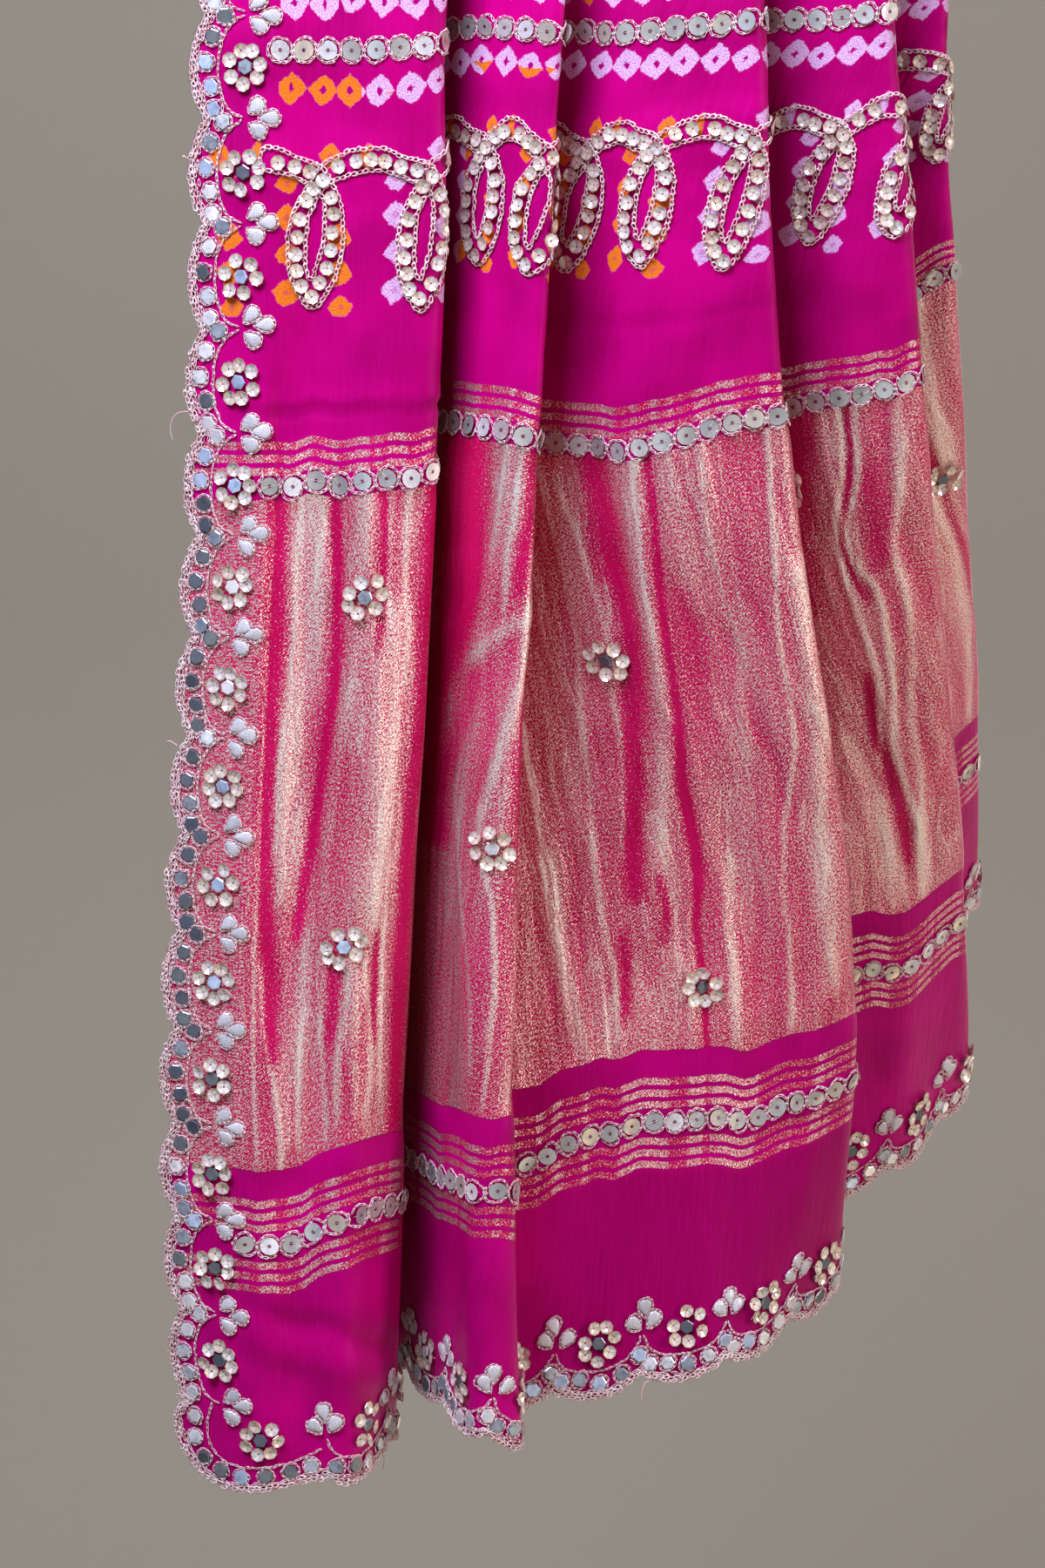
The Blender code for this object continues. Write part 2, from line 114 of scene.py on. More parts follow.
# Creases that run up the cloth, in flat millimetres. "rise" is towards the viewer, and
# "gleam" is how much more gold they show than the band about them: painted highlight,
# and painted shade where it is below 0. Those with a rise of 0 only paint highlight and
# shade on the gold. Their paths were picked in the photograph.
Crease = namedtuple("Crease", "name breadth rise gleam places")
CREASES = (
    # The first face
    Crease("border trough", 3.3, -2.0, -1.2,
           ((38, 440), (38.5, 392), (39, 340), (39.5, 300), (40, 260), (42, 225), (44, 205),
            (45, 180))),
    Crease("border bead", 3.4, 0.7, 0, ((31, 400), (31, 134))),
    Crease("border line", 1.3, 0.6, 0.9,
           ((40, 215), (41, 200), (42, 190), (45, 172), (48, 150), (49, 130))),
    Crease("left gleam", 6.3, 0.6, 0.75,
           ((51, 400), (50, 378), (52, 360), (52, 335), (49, 312), (47, 290), (47, 265),
            (47.5, 240))),
    Crease("left line", 1.2, 0.4, 0.7,
           ((47.5, 400), (46.5, 380), (46, 350), (44.5, 315), (43.5, 290), (43.5, 262))),
    Crease("inner line", 1.2, 0.4, 0.6, ((57, 400), (55.5, 382), (54, 366))),
    Crease("left trough", 2.2, -1.5, -1.3,
           ((59, 402), (60.5, 380), (62, 360), (63, 335), (61.5, 305), (59.5, 285), (57, 262),
            (54.5, 240), (53, 225))),
    Crease("second gleam", 4.2, 0.9, 0.85, ((71, 402), (72, 385), (71.5, 372), (71, 364))),
    Crease("third gleam", 3.0, 0.5, 0.45,
           ((72, 345), (70, 330), (68, 310), (66, 290), (64.5, 270), (63, 258))),
    Crease("short trough", 2.2, -1.1, -0.9,
           ((78, 402), (79, 380), (80, 362), (80, 345), (79, 335))),
    Crease("right line", 1.2, 0.5, 0.8, ((82, 392), (81.5, 370), (83, 346))),
    Crease("far line", 1.4, 0.8, 0.9, ((89, 402), (88, 375), (89, 358), (91, 340), (90, 318))),
    Crease("right gleam", 7.4, 1.0, 0.85,
           ((84, 350), (84, 325), (83.5, 300), (84, 280), (85, 255), (84, 240), (87, 222))),
    Crease("border gleam", 1.0, 0.2, 0.8, ((36.5, 395), (36.5, 300), (37.2, 220), (38.5, 140))),
    Crease("turned edge", 3.8, 0, -1.5,
           ((99.5, 402), (99, 340), (98.5, 280), (98.5, 220), (99.5, 130))),
    Crease("left foot gleam", 3.6, 0.7, 0.7,
           ((57, 224), (56, 205), (55, 190), (55.5, 170), (56, 150), (56, 130))),
    Crease("left foot line", 1.2, 0.5, 0.8, ((57.5, 195), (56, 172), (55.5, 145))),
    Crease("inner foot line", 1.3, 0.5, 0.8, ((63, 190), (65, 172), (66, 158), (66.5, 138))),
    Crease("foot trough", 2.2, -0.8, -0.9, ((68, 216), (68, 200), (67, 180))),
    Crease("cup left", 1.7, 0.6, 0.9, ((74, 208), (73, 195), (71.5, 178), (70.5, 165), (71, 146))),
    Crease("cup right", 1.7, 0.6, 0.9, ((80, 206), (82, 192), (84.5, 175), (85, 160), (83, 146))),
    Crease("cup", 3.2, 0.4, 0.35, ((77, 205), (77, 180))),
    Crease("right foot trough", 1.8, -0.8, -1.1, ((86, 216), (85.5, 195), (86, 176))),
    Crease("right foot line", 1.4, 0.9, 1.1,
           ((88.5, 220), (88.5, 200), (89, 180), (90, 160), (91.5, 138))),
    # The second face
    Crease("second side", 13.0, 0, -1.9,
           ((290, 402), (293, 376), (298, 345), (296, 325), (291, 312), (284, 300), (279, 289),
            (279, 269), (284, 253), (290, 240))),
    Crease("second side line", 4.5, 0.8, 0.55,
           ((318, 402), (317, 375), (314, 350), (311, 330), (307, 308))),
    Crease("second flame", 1.4, 0.7, 1.0, ((316, 402), (315.5, 375), (314.5, 350))),
    Crease("second inner line", 1.4, 0.7, 1.0, ((322, 402), (322, 375), (321, 350), (322, 332))),
    Crease("second trough", 2.6, -1.3, -1.0, ((327.5, 400), (328, 370), (327, 352), (327, 341))),
    Crease("knot", 4.5, 0.7, 0.9, ((334, 334), (326, 326), (316, 317), (310, 311))),
    Crease("wedge", 6.5, -0.8, -0.8, ((311, 306), (307, 292), (299, 272), (294, 260))),
    Crease("second ridge", 2.8, 1.2, 1.0,
           ((334, 342), (333, 320), (331, 300), (328, 280), (324, 262), (321.5, 248))),
    Crease("second foot line", 1.4, 0.6, 1.0,
           ((321.5, 254), (324, 238), (330, 222), (335, 200), (338, 178), (339, 140))),
    Crease("second outer line", 1.4, 0.6, 0.9,
           ((309, 256), (310, 238), (315, 222), (321, 205), (328, 180), (331, 155))),
    Crease("second foot gleam", 4.0, 0.4, 0.5, ((345, 228), (347, 200), (348, 170), (348, 140))),
    Crease("second turn", 6.0, 0, -1.6,
           ((340, 298), (342, 270), (348, 240), (356, 210), (359, 180), (360, 135))),
    # The third face
    Crease("lap line", 1.2, 0.5, 1.0, ((441.5, 292), (441, 265), (440, 240), (437.5, 210))),
    Crease("lap foot gleam", 3.0, 0.7, 0.9,
           ((441, 225), (440, 205), (440, 185), (442, 165), (445, 140))),
    Crease("first streak", 1.5, 0.7, 0.9,
           ((467, 392), (470, 372), (472, 350), (472, 318), (468, 295), (466, 280), (463, 256),
            (460, 230), (458, 215), (459, 190), (461, 168), (461, 145))),
    Crease("slant gleam", 5.5, 0.5, 0.4,
           ((470, 388), (476, 365), (478, 340), (477, 318), (474, 300), (472, 280))),
    Crease("slant line", 1.4, 0.6, 0.9,
           ((474, 384), (480, 362), (483, 340), (484.5, 320), (484, 302))),
    Crease("slanted trough", 4.2, -1.6, -1.15,
           ((490, 404), (493, 380), (494.5, 360), (493, 330), (490, 300), (484, 270), (479, 245),
            (474.5, 220), (473, 202))),
    Crease("slanted trough head", 4.2, -0.5, -0.9, ((485, 402), (488, 375), (488.5, 345))),
    Crease("trough lip", 1.2, 0.5, 0.8,
           ((481, 292), (479, 270), (476.5, 255), (474, 240), (470.5, 222))),
    Crease("pressed ridge", 3.2, 0.9, 0.7,
           ((511, 404), (506, 378), (505, 350), (502.5, 320), (499, 290), (496, 270), (490, 245),
            (487, 222))),
    Crease("pressed line", 1.2, 0.4, 0.8, ((509, 402), (508, 370), (505.5, 340), (504, 318))),
    Crease("pressed trough", 1.5, -1.3, -1.2,
           ((517, 440), (515, 399), (513, 358), (508, 318), (503.5, 280), (499.5, 255), (499, 225),
            (497.5, 200), (496, 185), (497, 150), (498, 110), (500, 85))),
    Crease("pressed trough foot", 2.4, -0.5, -0.8,
           ((502, 277), (499.5, 250), (500, 222), (498, 203))),
    Crease("third gleam", 4.6, 0.5, 0.4, ((522, 400), (522, 370), (523, 345), (523, 328))),
    Crease("third ridge", 2.4, 0.9, 0.6,
           ((535, 400), (534, 367), (533, 330), (535, 310), (530, 285), (528, 262))),
    Crease("third hollow", 5.0, -0.3, -0.4, ((519, 335), (518, 318), (517, 300))),
    Crease("third foot gleam", 2.4, 0.8, 1.0, ((512, 220), (510.5, 200), (510, 180), (510, 138))),
    Crease("low hollow", 2.6, -0.5, -1.1, ((484, 210), (484, 196), (482, 184))),
    Crease("lower hollow", 2.6, -0.5, -1.1, ((466, 184), (465, 168), (464, 152))),
    Crease("small foot gleam", 2.0, 0.4, 0.9, ((458, 160), (457, 138))),
    Crease("edge ridge", 1.5, 0.9, 0.9,
           ((561, 398), (560, 370), (557, 340), (551, 310), (549, 290), (547, 268), (541, 245),
            (535, 222), (532.5, 200), (533, 175), (534, 140))),
    Crease("edge gleam", 5.0, 1.1, 0.9,
           ((567, 338), (563, 310), (560, 290), (558, 265), (553, 245), (551, 215), (550, 190),
            (551, 150))),
    # The fourth face
    Crease("fourth root", 8.0, 0, -1.2, ((744, 404), (741, 375), (734, 340), (728, 300))),
    Crease("fourth line", 1.7, 0.8, 1.0,
           ((763, 400), (763, 380), (759.5, 360), (752, 340), (750, 320), (750.6, 300), (750, 280),
            (749, 260), (745.5, 240), (741.5, 218))),
    Crease("fourth ridge", 1.9, 1.1, 1.2,
           ((769, 400), (766.8, 370), (763.8, 355), (756.5, 340), (754.6, 330), (755.7, 320),
            (760.5, 308), (760.6, 300), (757.5, 280), (755, 260), (751, 240), (748.5, 220),
            (749.5, 200), (752, 180), (752, 140))),
    Crease("fourth trough", 1.6, -1.0, -1.1,
           ((766, 400), (764.5, 372), (760, 352), (753.3, 332), (753, 318), (755.5, 304))),
    Crease("fourth hollow", 6.0, -0.3, -0.6, ((771, 364), (769, 340), (766, 318))),
    Crease("fourth low trough", 2.4, -1.0, -1.2,
           ((746, 264), (742, 235), (744, 215), (745.5, 190), (746.5, 160))),
    Crease("fourth streak", 2.8, 0.5, 0.9, ((731, 230), (734, 212), (738, 196))),
    Crease("fourth foot gleam", 4.6, 0.8, 1.1, ((736, 194), (738, 175), (740, 160), (741, 140))),
    Crease("far ridge", 2.3, 1.1, 1.0,
           ((787.5, 400), (785, 370), (781, 350), (774.5, 330), (772, 320), (771.5, 300),
            (767.7, 280), (763.3, 260), (758.7, 240), (757, 220), (756.3, 200), (754.5, 180),
            (756.5, 140))),
    # The last face
    Crease("last gleam", 3.4, 0.8, 0.9, ((962, 400), (960, 340), (955, 290))),
    Crease("last ridge", 3.0, 0.8, 1.0, ((945, 300), (946, 250), (944, 200), (943, 140))),
    Crease("last trough", 2.4, -0.9, -1.0, ((953, 400), (950, 330), (950, 270), (952, 200))),
)
# Creases that run across the cloth
CROSS_CREASES = (
    Crease("storage crease", 1.3, -0.9, 0, ((26, 427), (64, 427), (104, 424), (150, 425))),
    Crease("storage ridge", 2.6, 0.5, 0, ((26, 431), (64, 431), (104, 428), (150, 429))),
    Crease("slanted fold", 4.0, -1.9, 0, ((38, 78), (54, 70), (67, 62), (84, 50), (100, 44))),
    Crease("slanted rise", 6.0, 1.4, 0, ((38, 64), (54, 57), (67, 48), (84, 37), (100, 31))),
    Crease("lap crease", 1.6, -0.7, 0, ((440, 452), (500, 446), (560, 444))),
)
# The heights between which the creases' painted gleam is drawn, and how softly it ends
GLEAM_FOOT = 60.0
GLEAM_HEAD = 450.0
GLEAM_FADE = 10.0
# A trough's painted shade takes this much more gold away than its gleam says
TROUGH_SHADE_WEIGHT = 1.15

# How far the weave is drawn up, in millimetres, at places across the band's head and
# foot. They are readings of the photograph, thinned and rounded.
DRAWN_HEAD = (405.0, (
    (0, -1), (38, -1), (42, -2), (50, 1), (60, -1), (70, 1), (81, 1), (90, -2), (110, 0), (300, 2),
    (320, 3), (335, 2), (360, 0), (470, -3), (485, -5), (503, -6.5), (511, -5), (520, -3), (531, -1),
    (543, 1), (556, 1), (572, -1), (744, -4), (750, -2), (762, 0), (780, 0.5), (786, -1.5), (792, 0),
    (963, 0), (968, 4), (974, 6), (1000, 6)))
DRAWN_FOOT = (134.0, (
    (0, 0), (34, -1), (40, -2), (51, -2), (57, -1), (62, 3), (68, 6), (73, 7), (79, 8), (86, 7), (94, 5),
    (110, 0), (300, -2), (309, -3), (316, -1), (330, 0.5), (344, 1), (350, 3), (356, 3), (380, 0),
    (428, 0), (431, 2), (436, 5), (448, 6), (453, 7), (459, 5), (466, 7), (470, 8), (480, 6), (496, 5),
    (505, 3), (514, -1), (524, 0), (532, 1), (545, -1), (570, 0), (700, 8), (728, 11), (736, 6),
    (744, 4), (753, 5), (761, 7), (770, 9), (800, 4), (860, 0), (1000, 0)))
DRAWN_TOP = 480.0
DRAWN_LOW = 80.0

# Gold yarn is woven in the band, and in sets of three narrow stripes
BAND = (134.0, 395.0)
STRIPE_SETS = (84.1, 109.3, 404.0)
STRIPE = 3.0
STRIPE_PITCH = 4.9

# Where the dye or the gold differs, and where shade and highlight are painted, by u and v in flat
# millimetres
# Painted shade on the silk of the third face below the band
SHADED_SILK_FROM = 420.0
SHADED_SILK_TO = 690.0
SHADED_SILK_TOP = 88.0
ORANGE_BY_THE_EDGE = 66.0
ORANGE_LOOPS_BY_THE_EDGE = 70.0
ORANGE_LOOPS_FROM = 280.0
ORANGE_LOOPS_TO = 528.0
# From here on the gold takes more painted highlight
PAINTED_GLEAM_FROM = 905.0
BORDER_STRIP = 34.0

# The dyed and the sewn rows, by v in flat millimetres, and the loops' crossings by u
DOT_ROWS = (578.0, 547.0)
DISC_ROWS = (103.4, 399.6, 561.0)
LOOP_ROW = 514.0
LOOPS = (49, 90, 134, 176, 216, 254, 290, 317, 362, 404, 446, 476, 504, 541, 590, 632, 672,
         711, 748, 783, 826, 868, 910, 962)
LOOP_PITCH = 42.0
FIRST_STITCH = 30.0

# One loop of the looped band, in flat millimetres from its crossing: its two chain
# lines from the hump before it to the hump after it, and its sequins. Its points were
# set to follow the photograph.
LOOP_HALF = 20
OUTER_LINE = ((-20, 11.2), (-14, 10.2), (-8.5, 6.8), (-3.4, 5), (2, 3), (6.8, -4.3), (9.8, -10.2),
              (11.2, -17), (11.1, -28), (8.9, -37.4), (5.1, -45.8), (-0.6, -51.6), (-6.4, -45),
              (-10, -37.4), (-11.2, -27.2), (-10.2, -17), (-7.7, -11.4), (-3.4, -4.6), (0, 1),
              (3.4, 4.4), (7.7, 6.6), (13.6, 10.2), (20, 11.2))
INNER_LINE = ((-20, 2.8), (-13, 1.6), (-7.7, -1), (-1.7, -3.4), (2.5, -7.5), (3.9, -11.9),
              (3.8, -20.4), (3, -28), (0.9, -34.9), (-1, -40.2), (-3.4, -35.7), (-3.9, -27.2),
              (-3.1, -16.2), (-0.9, -10.9), (2.5, -6), (4.5, -3.2), (9.4, -0.7), (13.6, 1.4),
              (20, 2.8))
LOOP_SEQUINS = ((-15.2, 5.2), (-8.9, 3.2), (-2.9, 1.4), (2.6, -1.9), (-1, -5), (-3.8, -10),
                (-6.6, -16.8), (-7.4, -23.6), (-7.6, -30.2), (-7, -36.4), (-4.9, -42), (-0.6, -46.2),
                (2.9, -41), (5.3, -35), (6.7, -28.3), (7.3, -21.6), (7.3, -15), (6, -8.6),
                (8.4, 3.2), (15.2, 5.9))

# The border, in flat millimetres: how far in from the edge, and how far along from the
# notch before it
BORDER_MIRRORS = ((9.3, 3.9), (8.3, 12.0), (6.1, 20.9), (8.3, 30.2), (13.4, 37.6))
BORDER_FLOWER = 21.5
TREFOIL_FOOT = 21.0
PETALS = ((5.0, 4.4), (10.0, 0.5), (4.8, -4.6))
CORNER_MIRRORS = ((9.6, 29), (9, 20), (13, 12), (20.6, 7.4), (29.4, 5.6), (39.6, 6.6), (49.6, 8.2),
                  (58, 10.2))
CORNER_LINE = ((17, 35), (14.6, 27), (15, 18), (21, 11.4), (31, 9.4), (43, 10.6), (53, 12.6), (62, 17))

# Where the flowers are sewn on the band, in flat millimetres
BAND_FLOWERS = (
    (73, 355), (72, 216), (215, 300), (329, 240), (482, 308), (496, 161),
    (582, 366), (655, 235), (700, 326), (815, 198), (890, 350), (952, 294),
)

# Loose ends of yarn at the edge, in flat millimetres: where each leaves the edge, and
# how far it bends out and down
LOOSE_ENDS = ((0.6, 428, -7.5, -9), (1.5, 300, -4.5, 3), (3.0, 60, -5, -4), (6.5, 36, -6, 1),
              (5.5, 37, -3, -8), (1.0, 520, -4, 4), (95, 2, 3, -6), (480, 2, -3, -6))

# Sizes of what is sewn on
YARN = 0.00027
LINK_PITCH = 0.0023
SEQUIN = 0.00285
DISC = 0.0037
MIRROR = 0.0031
PETAL_LENGTH = 0.0074

# The same in flat millimetres: pitches, reaches and outlines of the stitched lines
DISC_PITCH = 9
FLOWER_REACH = 6.2
MIRROR_RING = 3.4
FLOWER_ALONG = 19.0
PETAL_OUTLINE = ((-3.9, 0), (-2.2, -1.9), (0.5, -3.1), (2.7, -2.7), (4.0, 0),
                 (2.7, 2.7), (0.5, 3.1), (-2.2, 1.9), (-3.9, 0))
DISC_EYE = ((-4.8, 0), (-3.7, 2.6), (-1.5, 4.5), (1.3, 4.6), (3.5, 2.7), (4.8, 0))
SCALLOP_LINE = ((20.5, 0.6), (15.5, 2.6), (13.0, 7.0), (11.2, 13), (10.7, 19.2), (11.2, 25),
                (13.0, 31.6), (16.5, 35.6), (20.5, 37.8))
EDGE_CHAINS = ((0.2, 1.25), (1.4, 1.15), (2.7, 0.8))

# Tones that foil, discs, mirrors and petals take by turns. The mirrors' are painted reflections, light and
# dark; the discs' and petals' are their foil's colour with painted reflections, lighter and darker.
FOIL_TONES = ((1.0, 0.93, 0.80), (1.0, 0.98, 0.95), (0.92, 0.84, 0.68), (1.0, 1.0, 0.98))
DISC_TONES_AND_REFLECTIONS = ((0.56, 0.62, 0.60), (1.0, 1.0, 1.0), (0.44, 0.48, 0.44), (0.90, 0.76, 0.52),
              (0.94, 0.98, 1.0), (0.66, 0.68, 0.60))
PAINTED_MIRROR_REFLECTIONS = ((1.0, 1.0, 1.0), (0.62, 0.78, 1.0), (0.90, 0.96, 1.0), (0.42, 0.50, 0.58),
                (0.20, 0.24, 0.23), (0.16, 0.21, 0.30), (0.03, 0.04, 0.08), (0.26, 0.30, 0.27),
                (0.06, 0.08, 0.13))
PETAL_TONES_AND_REFLECTIONS = ((1.0, 1.0, 1.0), (0.60, 0.62, 0.62), (1.0, 1.0, 0.98), (0.34, 0.35, 0.36))

# Where the photograph is taken from: assumed, as it holds nothing that says so
AIM = Vector((-0.020, -0.040, -0.3756))
DISTANCE = 1.6
PITCH_DOWN = math.radians(10)
LENS = 96.0
FLOOR = -1.25
WALL = 1.75
WALL_TOP = 3.0
SWEEP_RADIUS = 0.7
SWEEP_HALF = 7.0

# The soft boxes: place, width and height, watts, what each is aimed at, and colour
SOFT_BOXES = (
    ("key", (-0.55, -1.0, 1.05), (0.8, 0.7), 43, (-0.05, -0.05, -0.05), (0.90, 0.93, 1.25)),
    ("side", (1.9, -0.8, 0.0), (0.4, 1.4), 19, AIM, (1.0, 0.86, 0.92)),
    ("back", (-0.4, 1.2, 1.4), (1.2, 0.5), 10, (0, 0.1, -0.3), (1.0, 1.0, 1.0)),
)


# ---------------------------------------------------------------- the hanging shape

def smooth_value(values, height):
    """Cubic through one value at each of LEVELS, straight beyond the ends."""
    levels = np.array(LEVELS)
    values = np.array(values, dtype=float)
    slopes = np.gradient(values, levels)
    if height <= levels[0]:
        return values[0] + slopes[0] * (height - levels[0])
    if height >= levels[-1]:
        return values[-1] + slopes[-1] * (height - levels[-1])
    low = int(np.searchsorted(levels, height)) - 1
    span = levels[low + 1] - levels[low]
    part = (height - levels[low]) / span
    square = part * part
    cube = square * part
    return (
        (2 * cube - 3 * square + 1) * values[low]
        + (cube - 2 * square + part) * span * slopes[low]
        + (3 * square - 2 * cube) * values[low + 1]
        + (cube - square) * span * slopes[low + 1]
    )


def drop(length, lower, upper):
    """How far a length of cloth falls while it runs sideways between two places."""
    run = math.dist(lower, upper)
    return math.sqrt(max(length**2 - run**2, (LEAST_DROP * length) ** 2))


def hanging_heights(fold):
    """Heights of a fold line at LEVELS: below the band's head it doesn't stretch."""
    run = [(x * MM, y * MM) for x, y in zip(fold.x, fold.y)]
    head = fold.head * MM
    foot = head - drop(BAND_HEAD - BAND_FOOT, run[1], run[2])
    hem = foot - drop(BAND_FOOT, run[0], run[1])
    return (hem, foot, head, 0.0)


def fold_points(height):
    """The corners of the cloth's section at one height."""
    points = []
    for fold in FOLDS:
        x = smooth_value(fold.x, height) * MM
        y = smooth_value(fold.y, height) * MM
        z = smooth_value(hanging_heights(fold), height)
        turn = fold.turn * MM
        points += [(x, y - turn, z), (x, y + turn, z)] if turn else [(x, y, z)]
    return np.array(points)


def section(height):
    """The cloth's soft section at one height: lengths across it, and its points."""
    points = fold_points(height)
    steps = np.linalg.norm(np.diff(points, axis=0), axis=1)
    lengths = np.concatenate(([0.0], np.cumsum(steps)))
    start = points[0] - (points[1] - points[0]) / steps[0] * SPARE
    end = points[-1] + (points[-1] - points[-2]) / steps[-1] * SPARE
    lengths = np.concatenate(([-SPARE], lengths, [lengths[-1] + SPARE]))
    points = np.vstack((start, points, end))
    samples = np.arange(-SPARE, lengths[-1], SECTION_STEP)
    raw = [np.interp(samples, lengths, points[:, axis]) for axis in range(3)]
    reach = int(4 * SOFTNESS / SECTION_STEP)
    offsets = np.arange(-reach, reach + 1) * SECTION_STEP
    weights = np.exp(-0.5 * (offsets / SOFTNESS) ** 2)
    weights /= weights.sum()
    soft = np.stack([np.convolve(line, weights, mode="valid") for line in raw], axis=1)
    samples = samples[reach:-reach]
    runs = np.linalg.norm(np.diff(soft, axis=0), axis=1)
    travelled = np.concatenate(([0.0], np.cumsum(runs)))
    travelled -= np.interp(0.0, samples, travelled)
    return travelled, soft


def ease(part):
    """From 0 to 1 without a corner at either end."""
    part = np.clip(part, 0.0, 1.0)
    return part * part * (3 - 2 * part)


def uneven(u, v, cell_u, cell_v, seed):
    """Smooth seeded unevenness from -1 to 1, in cells of this size."""
    dice = np.random.default_rng(seed)
    across = (u + 2 * MARGIN) / cell_u
    up = (v + 2 * MARGIN) / cell_v
    table = dice.uniform(-1, 1, (int(np.max(up)) + 3, int(np.max(across)) + 3))
    column = across.astype(int)
    row = up.astype(int)
    part_u = ease(across - column)
    part_v = ease(up - row)
    lower = table[row, column] * (1 - part_u) + table[row, column + 1] * part_u
    upper = table[row + 1, column] * (1 - part_u) + table[row + 1, column + 1] * part_u
    return lower * (1 - part_v) + upper * part_v


def crease_height(crease, along, across):
    """The rise of one crease at flat places along and across it."""
    ends = sorted((b, a) for a, b in crease.places)
    run = [a * MM for a, b in ends]
    line = np.interp(along, run, [b * MM for a, b in ends])
    fade = ease((along - run[0]) / 0.03 + 0.5) * ease((run[-1] - along) / 0.03 + 0.5)
    return crease.rise * MM * fade * np.exp(-(((across - line) / (crease.breadth * MM)) ** 2))


def relief(u, v):
    """How far the cloth stands out from its folds at each flat place."""
    drift = uneven(u, v, 0.05, 0.09, 3) * 0.006
    band = ease((v - 0.125) / 0.02) * ease((0.405 - v) / 0.02)
    silk = 1 - band
    inner = ease((u - 0.028) / 0.012)
    ripples = uneven(u + drift, v, 0.013, 0.085, 5) * 1.15 * MM
    ripples += uneven(u - drift, v, 0.0065, 0.05, 7) * 0.42 * MM
    made = ripples * band * inner
    soft = uneven(u + drift, v, 0.028, 0.10, 11) * 1.2 * MM
    soft += uneven(u, v, 0.012, 0.05, 13) * 0.35 * MM
    made += soft * silk * (0.35 + 0.65 * inner) * 1.3
    # The silk draws in round the stitched rows
    for row in DISC_ROWS + (LOOP_ROW + 5,):
        near = np.exp(-(((v - row * MM) / 0.009) ** 2))
        made += near * uneven(u, v, 0.0045, 0.02, 17) * 0.28 * MM
    made += (1 - inner) * uneven(u, v, 0.012, 0.009, 19) * 0.3 * MM
    for crease in CREASES:
        made += crease_height(crease, v, u)
    for crease in CROSS_CREASES:
        flipped = crease._replace(places=[(b, a) for a, b in crease.places])
        made += crease_height(flipped, u, v)
    return made


def drawn_up(u, v):
    """How far the weave is drawn up the cloth at each flat place."""
    head, foot = [np.interp(u / MM, *zip(*table)) for height, table in (DRAWN_HEAD, DRAWN_FOOT)]
    part = np.clip((v / MM - DRAWN_FOOT[0]) / (DRAWN_HEAD[0] - DRAWN_FOOT[0]), 0, 1)
    fade = ease((DRAWN_TOP - v / MM) / (DRAWN_TOP - DRAWN_HEAD[0])) * ease(v / MM / DRAWN_LOW)
    fine = uneven(u, v, 0.006, 0.03, 23) * 0.35 + uneven(u, v, 0.013, 0.04, 29) * 0.45
    return ((foot + (head - foot) * part) * fade + fine * ease((u - 0.028) / 0.012)) * MM


class HangingCloth:
    """Places any point of the flat cloth in the hanging one, creases and all."""

    def __init__(self):
        self.heights = np.linspace(-MARGIN, LENGTH + MARGIN, SECTIONS)
        self.widths = np.arange(-MARGIN, WIDTH + MARGIN, ACROSS_STEP)
        rows = []
        for height in self.heights:
            travelled, soft = section(height)
            lines = [np.interp(self.widths, travelled, soft[:, axis]) for axis in range(3)]
            rows.append(np.stack(lines, axis=1))
        smooth = np.array(rows)
        u, v = np.meshgrid(self.widths, self.heights)
        drawn = v + drawn_up(u, v)
        smooth = self.look_up(smooth, u.ravel(), drawn.ravel()).reshape(smooth.shape)
        self.places = smooth + self.normals_of(smooth) * relief(u, v)[..., None]
        self.normals = self.normals_of(self.places)

    @staticmethod
    def normals_of(places):
        """Unit normals on the face side of a table of places."""
        made = np.cross(np.gradient(places, axis=1), np.gradient(places, axis=0))
        return made / np.linalg.norm(made, axis=2, keepdims=True)

    def look_up(self, table, u, v):
        """A table's values at flat places, in metres."""
        rows, columns = table.shape[:2]
        row = (v - self.heights[0]) / (self.heights[1] - self.heights[0])
        column = (u - self.widths[0]) / ACROSS_STEP
        row = np.clip(row, 0, rows - 1.001)
        column = np.clip(column, 0, columns - 1.001)
        r, c = row.astype(int), column.astype(int)
        pr, pc = (row - r)[:, None], (column - c)[:, None]
        lower = table[r, c] * (1 - pc) + table[r, c + 1] * pc
        upper = table[r + 1, c] * (1 - pc) + table[r + 1, c + 1] * pc
        return lower * (1 - pr) + upper * pr

    def place(self, u, v, lift=0.0):
        """The hanging places of flat points, lifted off the face."""
        lift = np.broadcast_to(lift, u.shape)[:, None]
        return self.look_up(self.places, u, v) + self.look_up(self.normals, u, v) * lift

    def frames(self, u, v, angle):
        """Right-handed frames on the face: along the angle, across it and outwards."""
        step = 0.0012
        right = self.place(u + step, v) - self.place(u - step, v)
        up = self.place(u, v + step) - self.place(u, v - step)
        out = np.cross(right, up)
        out /= np.linalg.norm(out, axis=1, keepdims=True)
        right /= np.linalg.norm(right, axis=1, keepdims=True)
        side = np.cross(out, right)
        turn, lean = np.cos(angle)[:, None], np.sin(angle)[:, None]
        along = right * turn + side * lean
        across = side * turn - right * lean
        return np.stack((along, across, out), axis=2)


def scallop(part):
    """How far the edge is cut back at this part of the way along one scallop."""
    return SCALLOP_DEPTH * (1 - 4 * part * (1 - part))


# ---------------------------------------------------------------- sewing

def hung_piece(name, mesh, finish):
    """Links a finished mesh in as a piece that hangs with the cloth."""
    mesh.materials.append(finish)
    made = bpy.data.objects.new(name, mesh)
    bpy.context.scene.collection.objects.link(made)
    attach(made, "root")
    return made


def shape_of(bm, smooth=True):
    """Corners, faces and flat map of a small shape; the bmesh is used up."""
    bmesh.ops.recalc_face_normals(bm, faces=bm.faces)
    bm.verts.ensure_lookup_table()
    corners = np.array([tuple(vert.co) for vert in bm.verts])
    faces = [[vert.index for vert in face.verts] for face in bm.faces]
    bm.free()
    return corners, faces, smooth


